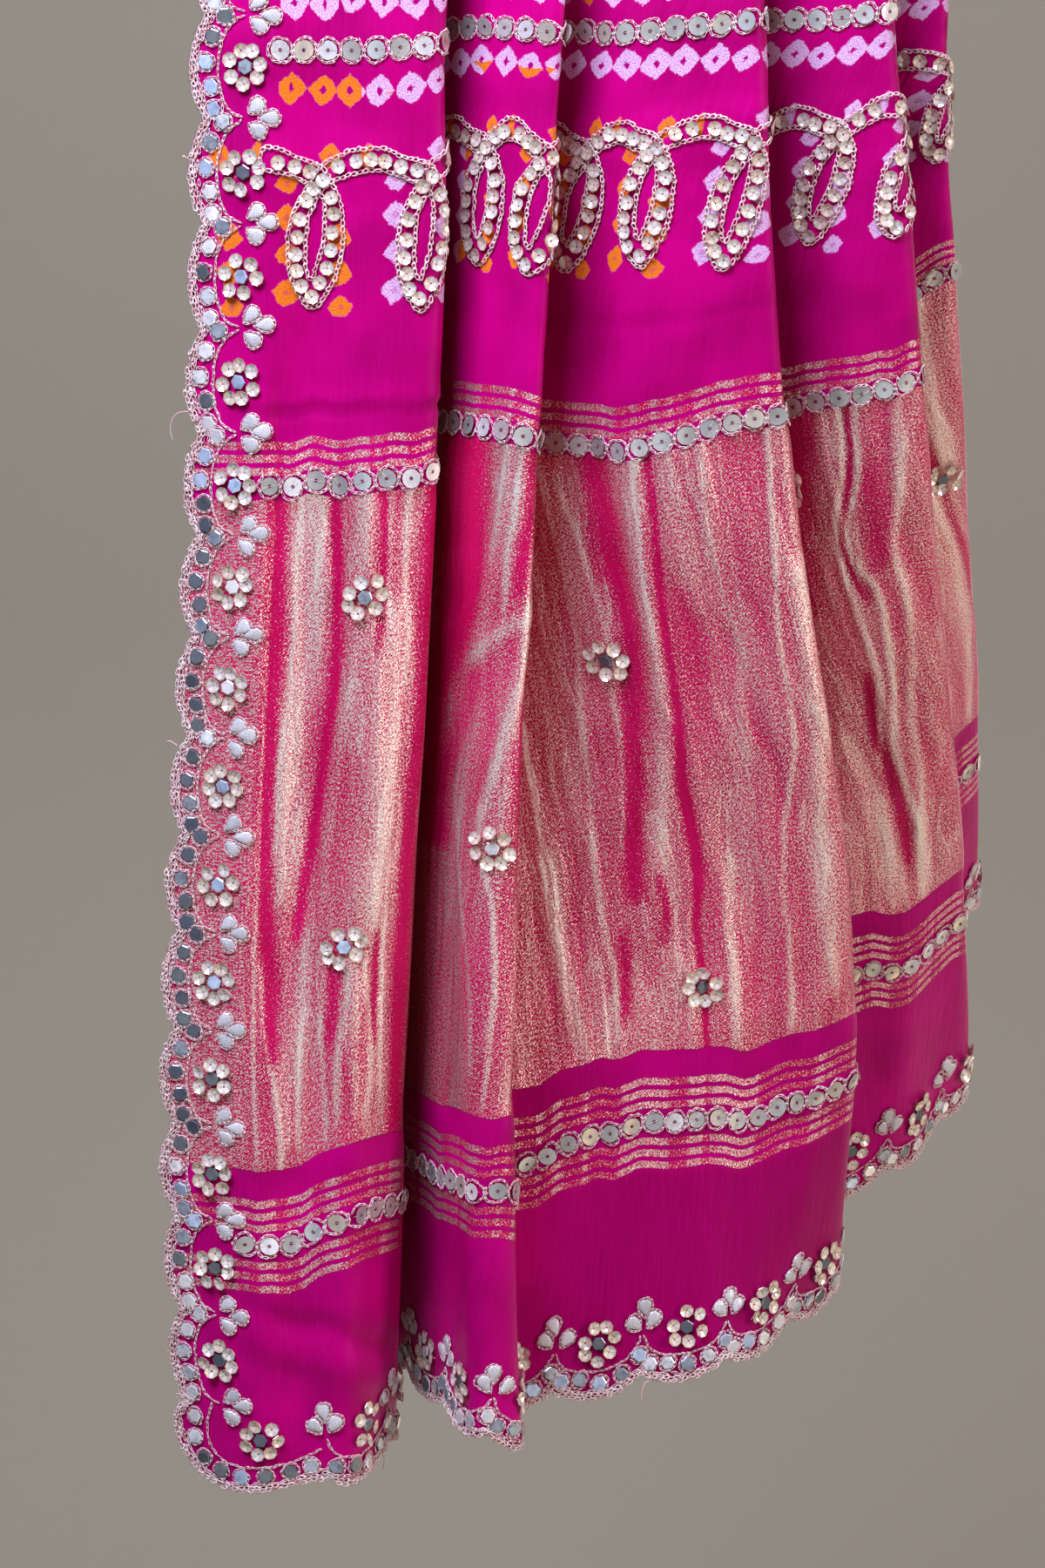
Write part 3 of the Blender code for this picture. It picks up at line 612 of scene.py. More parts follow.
def stitch_shape():
    """One chain stitch: a long loop of yarn, narrow at its heel."""
    bm = bmesh.new()
    bmesh.ops.create_circle(bm, segments=3, radius=YARN)
    bmesh.ops.rotate(bm, verts=bm.verts, matrix=Matrix.Rotation(math.pi / 2, 3, "X"))
    bmesh.ops.translate(bm, verts=bm.verts, vec=(0.0006, 0, 0))
    bmesh.ops.spin(bm, geom=bm.verts[:] + bm.edges[:], cent=(0, 0, 0), axis=(0, 0, 1),
                   angle=2 * math.pi, steps=6, use_merge=True)
    for vert in bm.verts:
        vert.co.x *= 2.2
        heel = (vert.co.x + 0.0016) / 0.0032
        vert.co.y *= 0.75 + 0.5 * heel
        vert.co.z += 0.00035 * heel
    return shape_of(bm)


def bar_shape():
    """A straight stitch of fine yarn, one unit long."""
    bm = bmesh.new()
    bmesh.ops.create_cone(bm, segments=3, radius1=0.00016, radius2=0.00016, depth=1.0, cap_ends=True)
    bmesh.ops.rotate(bm, verts=bm.verts, matrix=Matrix.Rotation(math.pi / 2, 3, "Y"))
    return shape_of(bm)


def sequin_shape(radius, segments, cup, hole):
    """A thin pressed disc with a hole in its middle, its rim raised by cup."""
    bm = bmesh.new()
    bmesh.ops.create_circle(bm, segments=segments, radius=radius)
    rim = bm.edges[:]
    for reach, low in ((0.58, cup * 0.62), (hole, cup)):
        grown = bmesh.ops.extrude_edge_only(bm, edges=rim)["geom"]
        rim = [part for part in grown if isinstance(part, bmesh.types.BMEdge)]
        verts = [part for part in grown if isinstance(part, bmesh.types.BMVert)]
        size = reach * radius / max(vert.co.to_2d().length for vert in verts)
        bmesh.ops.scale(bm, verts=verts, vec=(size, size, 1))
        for vert in verts:
            vert.co.z = -low
    bmesh.ops.recalc_face_normals(bm, faces=bm.faces)
    if sum(face.normal.z for face in bm.faces) < 0:
        bmesh.ops.reverse_faces(bm, faces=bm.faces)
    bmesh.ops.solidify(bm, geom=bm.faces[:], thickness=0.00014)
    bmesh.ops.translate(bm, verts=bm.verts, vec=(0, 0, cup))
    return shape_of(bm, smooth=False)


def mirror_shape(segments, radius):
    """A small cut mirror with a bevelled face."""
    bm = bmesh.new()
    disc = bmesh.ops.create_circle(bm, segments=segments, radius=radius, cap_ends=True)
    grown = bmesh.ops.extrude_face_region(bm, geom=bm.faces[:])["geom"]
    verts = [part for part in grown if isinstance(part, bmesh.types.BMVert)]
    bmesh.ops.translate(bm, verts=verts, vec=(0, 0, 0.0006))
    top = [part for part in grown if isinstance(part, bmesh.types.BMFace)]
    bmesh.ops.inset_region(bm, faces=top, thickness=0.00045, depth=0.00022)
    return shape_of(bm, smooth=False)


def petal_shape():
    """A crowned foil teardrop, pointed at its foot."""
    bm = bmesh.new()
    bmesh.ops.create_circle(bm, segments=10, radius=PETAL_LENGTH / 2, cap_ends=True)
    grown = bmesh.ops.extrude_face_region(bm, geom=bm.faces[:])["geom"]
    verts = [part for part in grown if isinstance(part, bmesh.types.BMVert)]
    bmesh.ops.translate(bm, verts=verts, vec=(0, 0, 0.0003))
    top = [part for part in grown if isinstance(part, bmesh.types.BMFace)]
    bmesh.ops.inset_region(bm, faces=top, thickness=0.0012, depth=0.0005)
    top = [face for face in bm.faces if face.normal.z > 0.9]
    bmesh.ops.poke(bm, faces=top, offset=0.00015)
    for vert in bm.verts:
        part = vert.co.x / PETAL_LENGTH + 0.5
        vert.co.y *= 0.88 * (0.30 + 0.95 * part) * (1 if part < 0.75 else 0.95)
    return shape_of(bm)


class Sewing:
    """Collects the places of one sort of small piece, then sews them all on."""

    def __init__(self, cloth, name, shape):
        self.cloth = cloth
        self.name = name
        self.shape = shape
        self.rows = []

    def add(self, u, v, angle=0.0, lift=0.5, long=1.0, wide=1.0, roll=0.0, nod=0.0, tones=(0.0, 1.0)):
        """One piece: its place and lift in flat millimetres, its turns and sizes, and the
        least and the most of its tone."""
        self.rows.append((u * MM, v * MM, angle, lift * MM, long, wide, roll, nod, *tones))

    def make(self, finish, slot, seed=1):
        """Every piece as one joined mesh."""
        corners, faces, smooth = self.shape
        dice = np.random.default_rng(seed)
        rows = np.array(self.rows)
        count = len(rows)
        u, v, angle, lift, long, wide, roll, nod, least, most = rows.T
        # A tilted piece is lifted, so that its rim stays off the silk
        reach = np.abs(corners).max(axis=0) * 0.7
        lift = lift + reach[1] * wide * np.abs(np.sin(roll)) + reach[0] * long * np.abs(np.sin(nod))
        frames = self.cloth.frames(u, v, angle)
        cr, sr, cn, sn = np.cos(roll), np.sin(roll), np.cos(nod), np.sin(nod)
        zero, one = np.zeros(count), np.ones(count)
        rolled = np.stack([np.stack([one, zero, zero], 1), np.stack([zero, cr, -sr], 1),
                           np.stack([zero, sr, cr], 1)], 1)
        nodded = np.stack([np.stack([cn, zero, sn], 1), np.stack([zero, one, zero], 1),
                           np.stack([-sn, zero, cn], 1)], 1)
        frames = frames @ rolled @ nodded
        sizes = np.stack((long, wide, np.minimum(long, wide) if self.name != "bars" else wide), 1)
        local = corners[None] * sizes[:, None]
        placed = np.einsum("nij,nkj->nki", frames, local)
        placed += self.cloth.place(u, v, lift)[:, None]
        step = len(corners)
        all_faces = [[corner + copy * step for corner in face]
                     for copy in range(count) for face in faces]
        mesh = bpy.data.meshes.new(self.name)
        mesh.from_pydata(placed.reshape(-1, 3).tolist(), [], all_faces)
        if smooth:
            mesh.shade_smooth()
        tone = mesh.attributes.new("tone", "FLOAT", "POINT")
        tones = least + (most - least) * dice.uniform(0, 1, count)
        tone.data.foreach_set("value", np.repeat(tones, step).astype(np.float32))
        flat = mesh.uv_layers.new(name="own")
        loops = np.empty(len(mesh.loops), dtype=np.int32)
        mesh.loops.foreach_get("vertex_index", loops)
        own = (corners[:, :2] / 0.01 + 0.5)[loops % step]
        flat.data.foreach_set("uv", own.astype(np.float32).ravel())
        return hung_piece(self.name, mesh, finish)


def along_path(path, pitch):
    """Even steps along a flat path in millimetres: places and headings."""
    path = np.array(path, dtype=float)
    runs = np.linalg.norm(np.diff(path, axis=0), axis=1)
    lengths = np.concatenate(([0.0], np.cumsum(runs)))
    count = max(int(round(lengths[-1] / pitch)), 1)
    middles = (np.arange(count) + 0.5) * lengths[-1] / count
    u = np.interp(middles, lengths, path[:, 0])
    v = np.interp(middles, lengths, path[:, 1])
    ahead = np.minimum(middles + pitch / 2, lengths[-1])
    behind = np.maximum(middles - pitch / 2, 0)
    du = np.interp(ahead, lengths, path[:, 0]) - np.interp(behind, lengths, path[:, 0])
    dv = np.interp(ahead, lengths, path[:, 1]) - np.interp(behind, lengths, path[:, 1])
    return zip(u, v, np.arctan2(dv, du))


def rounded(path, rounds=2):
    """A path with its corners cut, so that it runs softly."""
    path = np.array(path, dtype=float)
    for _ in range(rounds):
        first = path[:-1] * 0.75 + path[1:] * 0.25
        second = path[:-1] * 0.25 + path[1:] * 0.75
        middle = np.stack((first, second), axis=1).reshape(-1, 2)
        path = np.vstack((path[:1], middle, path[-1:]))
    return path


def chain(sewing, dice, path, lift=0.35, size=1.0, wide=1.0, loose=0.12):
    """Chain stitches along a flat path, each a little out of line."""
    for u, v, angle in along_path(path, LINK_PITCH / MM * size):
        if not (0.0 <= v <= LENGTH / MM - 0.5 and u <= WIDTH / MM + 1):
            continue
        sewing.add(u + dice.normal(0, loose), v + dice.normal(0, loose),
                   angle + dice.normal(0, 0.14), lift + dice.uniform(-0.05, 0.12),
                   size * dice.uniform(0.92, 1.15), wide * dice.uniform(0.85, 1.15),
                   dice.normal(0, 0.25), dice.normal(0, 0.08))


def ring(radius, long=1.0, turns=12):
    """A closed round path about the origin, in millimetres."""
    angles = np.linspace(0, 2 * math.pi, turns + 1)
    return np.stack((np.cos(angles) * radius * long, np.sin(angles) * radius), axis=1)


def turned(path, angle, u, v):
    """A path turned about the origin and moved to (u, v)."""
    path = np.array(path, dtype=float)
    c, s = math.cos(angle), math.sin(angle)
    return np.stack((path[:, 0] * c - path[:, 1] * s + u, path[:, 0] * s + path[:, 1] * c + v), axis=1)


class Embroidery:
    """Everything that is sewn on the cloth."""

    def __init__(self, cloth):
        self.dice = np.random.default_rng(41)
        stitch = stitch_shape()
        self.edge_stitches = Sewing(cloth, "edge_stitches", stitch)
        self.border_stitches = Sewing(cloth, "border_stitches", stitch)
        self.row_stitches = Sewing(cloth, "row_stitches", stitch)
        self.loop_stitches = Sewing(cloth, "loop_stitches", stitch)
        self.bars = Sewing(cloth, "bars", bar_shape())
        self.fibres = Sewing(cloth, "edge_fibres", bar_shape())
        cupped = sequin_shape(SEQUIN, 8, 0.00095, 0.12)
        self.sequins = Sewing(cloth, "sequins", cupped)
        self.flower_sequins = Sewing(cloth, "band_flower_sequins", cupped)
        self.discs = Sewing(cloth, "discs", sequin_shape(DISC, 12, 0.00012, 0.14))
        self.mirrors = Sewing(cloth, "mirrors", mirror_shape(6, MIRROR))
        self.petals = Sewing(cloth, "petals", petal_shape())

    def mirror(self, u, v, size=1.0, ringed=True):
        """A cut mirror, held by a ring of stitches."""
        dice = self.dice
        turn = dice.uniform(0, math.pi)
        # Mirrors at the band's height take the darker painted reflections, the others the paler ones
        tones = (0.30, 1.0) if BAND[0] < v < BAND[1] else (0.0, 0.55)
        self.mirrors.add(u, v, turn, 0.25, size * dice.uniform(0.93, 1.05), size * dice.uniform(0.9, 1.05),
                         dice.normal(0, 0.1), dice.normal(0, 0.1), tones)
        if ringed:
            held = turned(ring(MIRROR_RING * size), turn, u, v)
            chain(self.border_stitches, dice, held, 0.6, 0.88, 0.66, 0.14)

    def flower(self, sequins, u, v, petals=7, angle=0.0):
        """A mirror with a wreath of cupped sequins round it."""
        dice = self.dice
        self.mirrors.add(u, v, dice.uniform(0, 3), 0.7, 0.95, 0.95, dice.normal(0, 0.1), dice.normal(0, 0.1))
        for index in range(petals):
            way = angle + 2 * math.pi * index / petals + dice.normal(0, 0.06)
            reach = FLOWER_REACH + dice.normal(0, 0.25)
            sequins.add(u + reach * math.cos(way), v + reach * math.sin(way), dice.uniform(0, 1),
                        0.45 + 0.25 * (index % 2), 1.0, 1.0, dice.normal(0, 0.16), dice.normal(0, 0.16))
            self.bars.add(u + reach * math.cos(way), v + reach * math.sin(way), way, 0.75, 0.0038, 1.0)

    def trefoil(self, u, v, inward):
        """Three netted petals on a short stem; inward is the heading away from the edge."""
        dice = self.dice
        for index, (far, side) in enumerate(PETALS):
            heading = math.atan2(side, far + 0.8) + inward + dice.normal(0, 0.08)
            reach = math.hypot(side, far) + dice.normal(0, 0.2)
            cu, cv = u + math.cos(heading) * reach, v + math.sin(heading) * reach
            self.petals.add(cu, cv, heading, 0.3, dice.uniform(0.93, 1.04), dice.uniform(0.9, 1.05),
                            dice.normal(0, 0.1), dice.normal(0, 0.1))
            outline = turned(rounded(PETAL_OUTLINE, 1), heading, cu, cv)
            chain(self.border_stitches, dice, outline, 0.65, 0.85, 0.62, 0.08)

    def border_unit(self, put, heading):
        """One scallop's mirrors, flower, trefoil and inner line. put(inward, along) gives
        a flat place, and heading is the way in from the edge."""
        dice = self.dice
        for inward, along in BORDER_MIRRORS:
            u, v = put(inward + dice.normal(0, 0.2), along)
            self.mirror(u, v)
        self.flower(self.sequins, *put(BORDER_FLOWER, FLOWER_ALONG), petals=7 - (dice.random() < 0.3),
                    angle=dice.uniform(0, 1))
        line = [put(a, b) for a, b in rounded(SCALLOP_LINE, 1)]
        chain(self.border_stitches, dice, line, 0.35, 0.95, 0.62)
        self.trefoil(*put(TREFOIL_FOOT, 0.0), inward=heading)

    def border(self):
        """The left border, the corner's lobe and the hem."""
        dice = self.dice
        for index in range(LEFT_SCALLOPS):
            low = CORNER_NOTCH_V / MM + LEFT_PITCH / MM * index
            self.border_unit(lambda inward, along: (inward, low + along), 0.0)
        for index in range(HEM_SCALLOPS):
            start = (CORNER_NOTCH_U + HEM_PITCH * index) / MM
            self.border_unit(lambda inward, along: (start + along * HEM_PITCH / LEFT_PITCH, inward),
                             math.pi / 2)
        for u, v in CORNER_MIRRORS:
            self.mirror(u, v)
        chain(self.border_stitches, dice, rounded(CORNER_LINE), 0.35, 0.95, 0.62)
        self.flower(self.sequins, 38, 22)
        self.edge_lines()

    def edge_lines(self):
        """Chain stitch along the cut edge, and the edge's frayed fibres."""
        dice = self.dice
        fine = 8
        path = []
        for step in range(LEFT_SCALLOPS * fine + 2, 0, -1):
            part = step / fine
            path.append((scallop(part % 1) / MM, (CORNER_NOTCH_V + LEFT_PITCH * part) / MM))
        for part in (0.0, 0.25, 0.5, 0.75):
            v = CORNER_NOTCH_V + (CORNER_RADIUS - CORNER_NOTCH_V) * part
            path.append((SCALLOP_DEPTH * (1 - part) ** 2 / MM, v / MM))
        for step in range(9):
            angle = math.pi / 2 * step / 8
            path.append((CORNER_RADIUS * (1 - math.cos(angle)) / MM,
                         CORNER_RADIUS * (1 - math.sin(angle)) / MM))
        for part in (0.2, 0.4, 0.6, 0.8):
            u = CORNER_RADIUS + (CORNER_NOTCH_U - CORNER_RADIUS) * part
            path.append((u / MM, SCALLOP_DEPTH * part**2 / MM))
        for step in range(HEM_SCALLOPS * fine + 1):
            part = step / fine
            path.append(((CORNER_NOTCH_U + HEM_PITCH * part) / MM, scallop(part % 1) / MM))
        path = np.array(path)
        tangent = np.gradient(path, axis=0)
        tangent /= np.linalg.norm(tangent, axis=1)[:, None]
        inward = np.stack((-tangent[:, 1], tangent[:, 0]), axis=1)
        for offset, wide in EDGE_CHAINS:
            chain(self.edge_stitches, dice, path + inward * offset, 0.35, 1.0, wide, 0.34)
        for u, v, angle in along_path(path, 0.9):
            out = angle - math.pi / 2 + dice.normal(0, 0.6)
            reach = dice.uniform(0.6, 2.0)
            self.fibres.add(u + math.cos(out) * reach * 0.4, max(v + math.sin(out) * reach * 0.4, -1.5),
                            out, dice.uniform(-0.3, 0.4), reach * MM, 0.55, 0, dice.normal(0, 0.4))

    def disc_row(self, v):
        """A row of holed discs, each in an eye of two crossing chain lines."""
        dice = self.dice
        count = int((WIDTH / MM - FIRST_STITCH - 6) / DISC_PITCH)
        sway = uneven(np.linspace(0, 1, count + 1), np.full(count + 1, v * MM), 0.05, 0.05, int(v)) * 0.6
        for index in range(count):
            u = FIRST_STITCH + DISC_PITCH * (index + 0.5)
            middle = v + sway[index]
            self.discs.add(u + dice.normal(0, 0.25), middle, dice.uniform(0, 6), 0.4,
                           dice.uniform(0.92, 1.04), dice.uniform(0.92, 1.04),
                           dice.normal(0, 0.11), dice.normal(0, 0.11))
            self.bars.add(u, middle, dice.normal(0, 0.5), 0.75, 0.0070, 0.5)
            for side in (-1, 1):
                path = [(u + a, middle + side * b) for a, b in rounded(DISC_EYE, 1)]
                chain(self.row_stitches, dice, path, 0.45, 0.98, 0.72, 0.15)

    def loop_row(self):
        """The looped band: two chain lines with sequins between them."""
        dice = self.dice
        centres = list(LOOPS) + [LOOPS[-1] + LOOP_PITCH]
        outer, inner = [], []
        for index, centre in enumerate(LOOPS):
            before = (centre - (LOOPS[index - 1] if index else centre - 38)) / 2
            after = (centres[index + 1] - centre) / 2
            tall = dice.uniform(0.93, 1.04)
            broad = dice.uniform(0.88, 1.04)
            lean = dice.normal(0, 0.05)
            rise = dice.normal(0, 0.8)

            def put(a, b):
                """From the loop's own sizes to the flat cloth's."""
                if b < -4:
                    return (centre + a * broad + b * lean, LOOP_ROW + rise + b * tall)
                reach = (before if a < 0 else after) / LOOP_HALF
                wide = 1 + (reach - 1) * min(abs(a) / 12, 1)
                low = b * tall if b < 0 else b
                return (centre + a * wide, LOOP_ROW + low + rise * (1 - abs(a) / LOOP_HALF))

            outer += [put(a, b) for a, b in OUTER_LINE]
            inner += [put(a, b) for a, b in INNER_LINE]
            places = [put(a, b) for a, b in LOOP_SEQUINS]
            if after > 20.3:
                places.append((centre + after, LOOP_ROW + 6.9))
            for u, v in places:
                self.sequins.add(u + dice.normal(0, 0.25), v + dice.normal(0, 0.25),
                                 dice.uniform(0, 6), dice.uniform(0.45, 0.7), 0.98, 0.98,
                                 dice.normal(0, 0.14), dice.normal(0, 0.14))
                self.bars.add(u, v, dice.uniform(0, 6), 1.0, 0.0040, 0.6)
        nose = [(inner[0][0] - 1.5, inner[0][1] + 1.2), (inner[0][0] - 2.6, inner[0][1] + 4.0),
                (outer[0][0] - 1.2, outer[0][1] - 1.2)]
        for path in (outer, inner, [inner[0]] + nose + [outer[0]]):
            chain(self.loop_stitches, dice, rounded(path, 1), 0.45, 1.0, 1.2, 0.14)

    def band_flowers(self):
        """The flowers spread over the gold band."""
        for u, v in BAND_FLOWERS:
            self.flower(self.flower_sequins, u, v, 7, self.dice.uniform(0, 1))


def loose_ends(cloth, finish):
    """Cut ends of yarn that curl away from the edge."""
    curve = bpy.data.curves.new("loose_ends", "CURVE")
    curve.dimensions = "3D"
    curve.bevel_depth = 0.00022
    curve.bevel_resolution = 1
    for u, v, out, down in LOOSE_ENDS:
        spline = curve.splines.new("NURBS")
        spline.points.add(4)
        spline.use_endpoint_u = True
        steps = np.linspace(0, 1, 5)
        us = (u + out * np.sin(steps * 2.2)) * MM
        vs = (v + down * steps**1.5 + 1.5 * np.sin(steps * 5)) * MM
        lifts = (0.4 + 2.5 * steps * (1 - steps)) * MM
        for point, place in zip(spline.points, cloth.place(us, vs, lifts)):
            point.co = (*place, 1.0)
    made = bpy.data.objects.new("loose_ends_curve", curve)
    bpy.context.scene.collection.objects.link(made)
    bpy.context.view_layer.update()
    mesh = bpy.data.meshes.new_from_object(made)
    bpy.data.objects.remove(made)
    mesh.name = "loose_ends"
    mesh.materials.clear()
    return hung_piece("loose_ends", mesh, finish)


# ---------------------------------------------------------------- the cloth's mesh

def make_cloth(cloth, finish):
    """The one sheet of silk, cut to its scallops and hung on its folds."""
    rows = CORNER_ROWS + int((LENGTH - CORNER_NOTCH_V) / LEFT_PITCH * ROWS_PER_SCALLOP)
    columns = CORNER_COLUMNS + HEM_SCALLOPS * COLUMNS_PER_SCALLOP
    bm = bmesh.new()
    bmesh.ops.create_grid(bm, x_segments=columns, y_segments=rows, size=0.5)
    mesh = bpy.data.meshes.new("silk_cloth")
    bm.to_mesh(mesh)
    bm.free()
    flat = np.empty(len(mesh.vertices) * 3)
    mesh.vertices.foreach_get("co", flat)
    column = np.round((flat.reshape(-1, 3)[:, 0] + 0.5) * columns)
    row = np.round((flat.reshape(-1, 3)[:, 1] + 0.5) * rows)
    u = np.where(column < CORNER_COLUMNS, column / CORNER_COLUMNS * CORNER_NOTCH_U,
                 CORNER_NOTCH_U + (column - CORNER_COLUMNS) / COLUMNS_PER_SCALLOP * HEM_PITCH)
    top = LENGTH - CORNER_NOTCH_V
    v = np.where(row < CORNER_ROWS, row / CORNER_ROWS * CORNER_NOTCH_V,
                 CORNER_NOTCH_V + (row - CORNER_ROWS) / (rows - CORNER_ROWS) * top)
    u, v = cut_to_scallops(u, v)
    mesh.vertices.foreach_set("co", cloth.place(u, v).ravel())
    loops = np.empty(len(mesh.loops), dtype=np.int32)
    mesh.loops.foreach_get("vertex_index", loops)
    layer = mesh.uv_layers.new(name="flat")
    layer.data.foreach_set("uv", np.stack((u, v), 1)[loops].astype(np.float32).ravel())
    marks = [LOOPS[0] - LOOP_PITCH] + list(LOOPS) + [LOOPS[-1] + LOOP_PITCH]
    phase = np.interp(u / MM, marks, range(-1, len(LOOPS) + 1))
    layer = mesh.uv_layers.new(name="loops")
    layer.data.foreach_set("uv", np.stack((phase, v), 1)[loops].astype(np.float32).ravel())
    mesh.shade_smooth()
    made = hung_piece("silk_cloth", mesh, finish)
    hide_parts("cloth")
    return made


def cut_to_scallops(u, v):
    """Moves the outer rows and columns of a plain oblong in to the scalloped edge."""
    reach = 0.024
    left = np.where(v >= CORNER_NOTCH_V, scallop(((v - CORNER_NOTCH_V) / LEFT_PITCH) % 1), 0.0)
    rise = np.clip((v - CORNER_RADIUS) / (CORNER_NOTCH_V - CORNER_RADIUS), 0, 1)
    left = np.where(v < CORNER_NOTCH_V, SCALLOP_DEPTH * rise**2, left)
    foot = np.where(u >= CORNER_NOTCH_U, scallop(((u - CORNER_NOTCH_U) / HEM_PITCH) % 1), 0.0)
    along = np.clip((u - CORNER_RADIUS) / (CORNER_NOTCH_U - CORNER_RADIUS), 0, 1)
    foot = np.where(u < CORNER_NOTCH_U, SCALLOP_DEPTH * along**2, foot)
    new_u = u + left * np.clip(1 - u / reach, 0, 1)
    new_v = v + foot * np.clip(1 - v / reach, 0, 1)
    corner = (u < CORNER_RADIUS) & (v < CORNER_RADIUS)
    p, q = 1 - u / CORNER_RADIUS, 1 - v / CORNER_RADIUS
    round_u = CORNER_RADIUS * (1 - p * np.sqrt(np.clip(1 - q * q / 2, 0, 1)))
    round_v = CORNER_RADIUS * (1 - q * np.sqrt(np.clip(1 - p * p / 2, 0, 1)))
    return np.where(corner, round_u, new_u), np.where(corner, round_v, new_v)


# ---------------------------------------------------------------- finishes

class Wire:
    """A value on its way through a node tree, so that sums read as sums."""

    def __init__(self, tree, socket):
        self.tree = tree
        self.socket = socket

    def math(self, operation, *others):
        return put(self.tree, "Math", self, *others, operation=operation)

    def __add__(self, other):
        return self.math("ADD", other)

    def __sub__(self, other):
        return self.math("SUBTRACT", other)

    def __mul__(self, other):
        return self.math("MULTIPLY", other)

    def __truediv__(self, other):
        return self.math("DIVIDE", other)

    def part(self, low, high):
        """From 0 at low to 1 at high, held beyond them."""
        node = self.tree.nodes.new("ShaderNodeMapRange")
        node.interpolation_type = "SMOOTHSTEP"
        self.tree.links.new(self.socket, node.inputs["Value"])
        node.inputs["From Min"].default_value = low
        node.inputs["From Max"].default_value = high
        return Wire(self.tree, node.outputs["Result"])


def put(tree, kind, *values, out=0, named=None, **settings):
    """Adds a node, feeds its inputs in order or by name, and gives one output."""
    node = tree.nodes.new("ShaderNode" + kind)
    for key, value in settings.items():
        setattr(node, key, value)
    feed(tree, node, values, named)
    return Wire(tree, node.outputs[out])


def feed(tree, node, values=(), named=None):
    """Feeds a node's inputs with wires or plain values."""
    pairs = list(zip(node.inputs, values))
    pairs += [(node.inputs[key], value) for key, value in (named or {}).items()]
    for socket, value in pairs:
        if isinstance(value, Wire):
            tree.links.new(value.socket, socket)
        elif value is not None:
            socket.default_value = value
    return node


def mixed(tree, part, first, second):
    """One colour into another."""
    node = tree.nodes.new("ShaderNodeMix")
    node.data_type = "RGBA"
    for index, value in ((0, part), (6, first), (7, second)):
        if isinstance(value, Wire):
            tree.links.new(value.socket, node.inputs[index])
        else:
            node.inputs[index].default_value = (*value, 1.0)
    return Wire(tree, node.outputs[2])


def mixed_value(part, first, second):
    """One number into another by a wired part."""
    return part * (second - first) + first


def highest(wires):
    """The greatest of several wires."""
    return reduce(lambda most, wire: most.math("MAXIMUM", wire), wires)


def parts_of(tree, vector, count=2):
    """The first few parts of a wired vector."""
    node = put(tree, "SeparateXYZ", vector).socket.node
    return [Wire(tree, node.outputs[index]) for index in range(count)]


def bumped(tree, height, strength=1.0, distance=1.0):
    """The normal that a wired height gives the face."""
    return put(tree, "Bump", named={"Strength": strength, "Distance": distance, "Height": height})


def stepped(tree, part, stops):
    """Colours by steps over a part from 0 to 1; stops are (place, colour)."""
    node = tree.nodes.new("ShaderNodeValToRGB")
    node.color_ramp.interpolation = "CONSTANT"
    elements = node.color_ramp.elements
    while len(elements) < len(stops):
        elements.new(0.5)
    for element, (place, colour) in zip(elements, stops):
        element.position = place
        element.color = (*colour, 1.0)
    tree.links.new(part.socket, node.inputs[0])
    return Wire(tree, node.outputs[0])


def curves(tree, key, lines):
    """Up to three smooth curves in one node; each line is (place, value) pairs, 0 to 1."""
    node = tree.nodes.new("ShaderNodeVectorCurve")
    node.mapping.extend = "HORIZONTAL"
    for curve, stops in zip(node.mapping.curves, lines):
        curve.points[0].location = stops[0]
        curve.points[1].location = stops[-1]
        for place, value in stops[1:-1]:
            curve.points.new(place, value)
        for point in curve.points:
            point.handle_type = "AUTO_CLAMPED"
    node.mapping.update()
    tree.links.new(key.socket, node.inputs["Vector"])
    return Wire(tree, node.outputs[0])


def painted_gleam_of_creases(tree, u, v):
    """Painted highlight and shade on each crease, as more or less gold shown, three creases at a time."""
    span = GLEAM_HEAD - GLEAM_FOOT
    part = (v - GLEAM_FOOT) / span
    key = put(tree, "CombineXYZ", part, part, part)
    place = put(tree, "CombineXYZ", u, u, u)
    shining = [crease for crease in CREASES if crease.gleam]
    total = None
    for first in range(0, len(shining), 3):
        three = shining[first:first + 3]
        lines, strengths = [], []
        for crease in three:
            stops = sorted(((b - GLEAM_FOOT) / span, a * MM) for a, b in crease.places)
            low, high = stops[0][0], stops[-1][0]
            fade = min(GLEAM_FADE / span, (high - low) * 0.4)
            lines.append(stops)
            strengths.append([(low - fade / 2, 0.0), (low + fade, 1.0),
                              (high - fade, 1.0), (high + fade / 2, 0.0)])
        spare = [0.0] * (3 - len(three))
        narrow = [-1 / (1.7 * crease.breadth) for crease in three] + spare
        gleams = [crease.gleam * (TROUGH_SHADE_WEIGHT if crease.gleam < 0 else 1.0) for crease in three] + spare
        line = put(tree, "VectorMath", curves(tree, key, lines), (1000, 1000, 1000), operation="MULTIPLY")
        off = put(tree, "VectorMath", place, line, operation="SUBTRACT")
        off = put(tree, "VectorMath", off, operation="ABSOLUTE")
        off = put(tree, "VectorMath", off, narrow, operation="MULTIPLY")
        bell = tree.nodes.new("ShaderNodeMapRange")
        bell.data_type = "FLOAT_VECTOR"
        bell.interpolation_type = "SMOOTHSTEP"
        tree.links.new(off.socket, bell.inputs[6])
        bell.inputs[7].default_value = (-1, -1, -1)
        bell.inputs[8].default_value = (0, 0, 0)
        shape = put(tree, "VectorMath", Wire(tree, bell.outputs[1]), curves(tree, key, strengths),
                    operation="MULTIPLY")
        gleam = put(tree, "VectorMath", shape, gleams, out=1, operation="DOT_PRODUCT")
        total = gleam if total is None else total + gleam
    return total


def noise(tree, place, across, up, detail=1.0, rough=0.5):
    """Noise with this many cells to the metre across the cloth and up it."""
    cells = put(tree, "VectorMath", place, (across, up, 1.0), operation="MULTIPLY")
    return put(tree, "TexNoise", cells, None, 1.0, detail, rough)


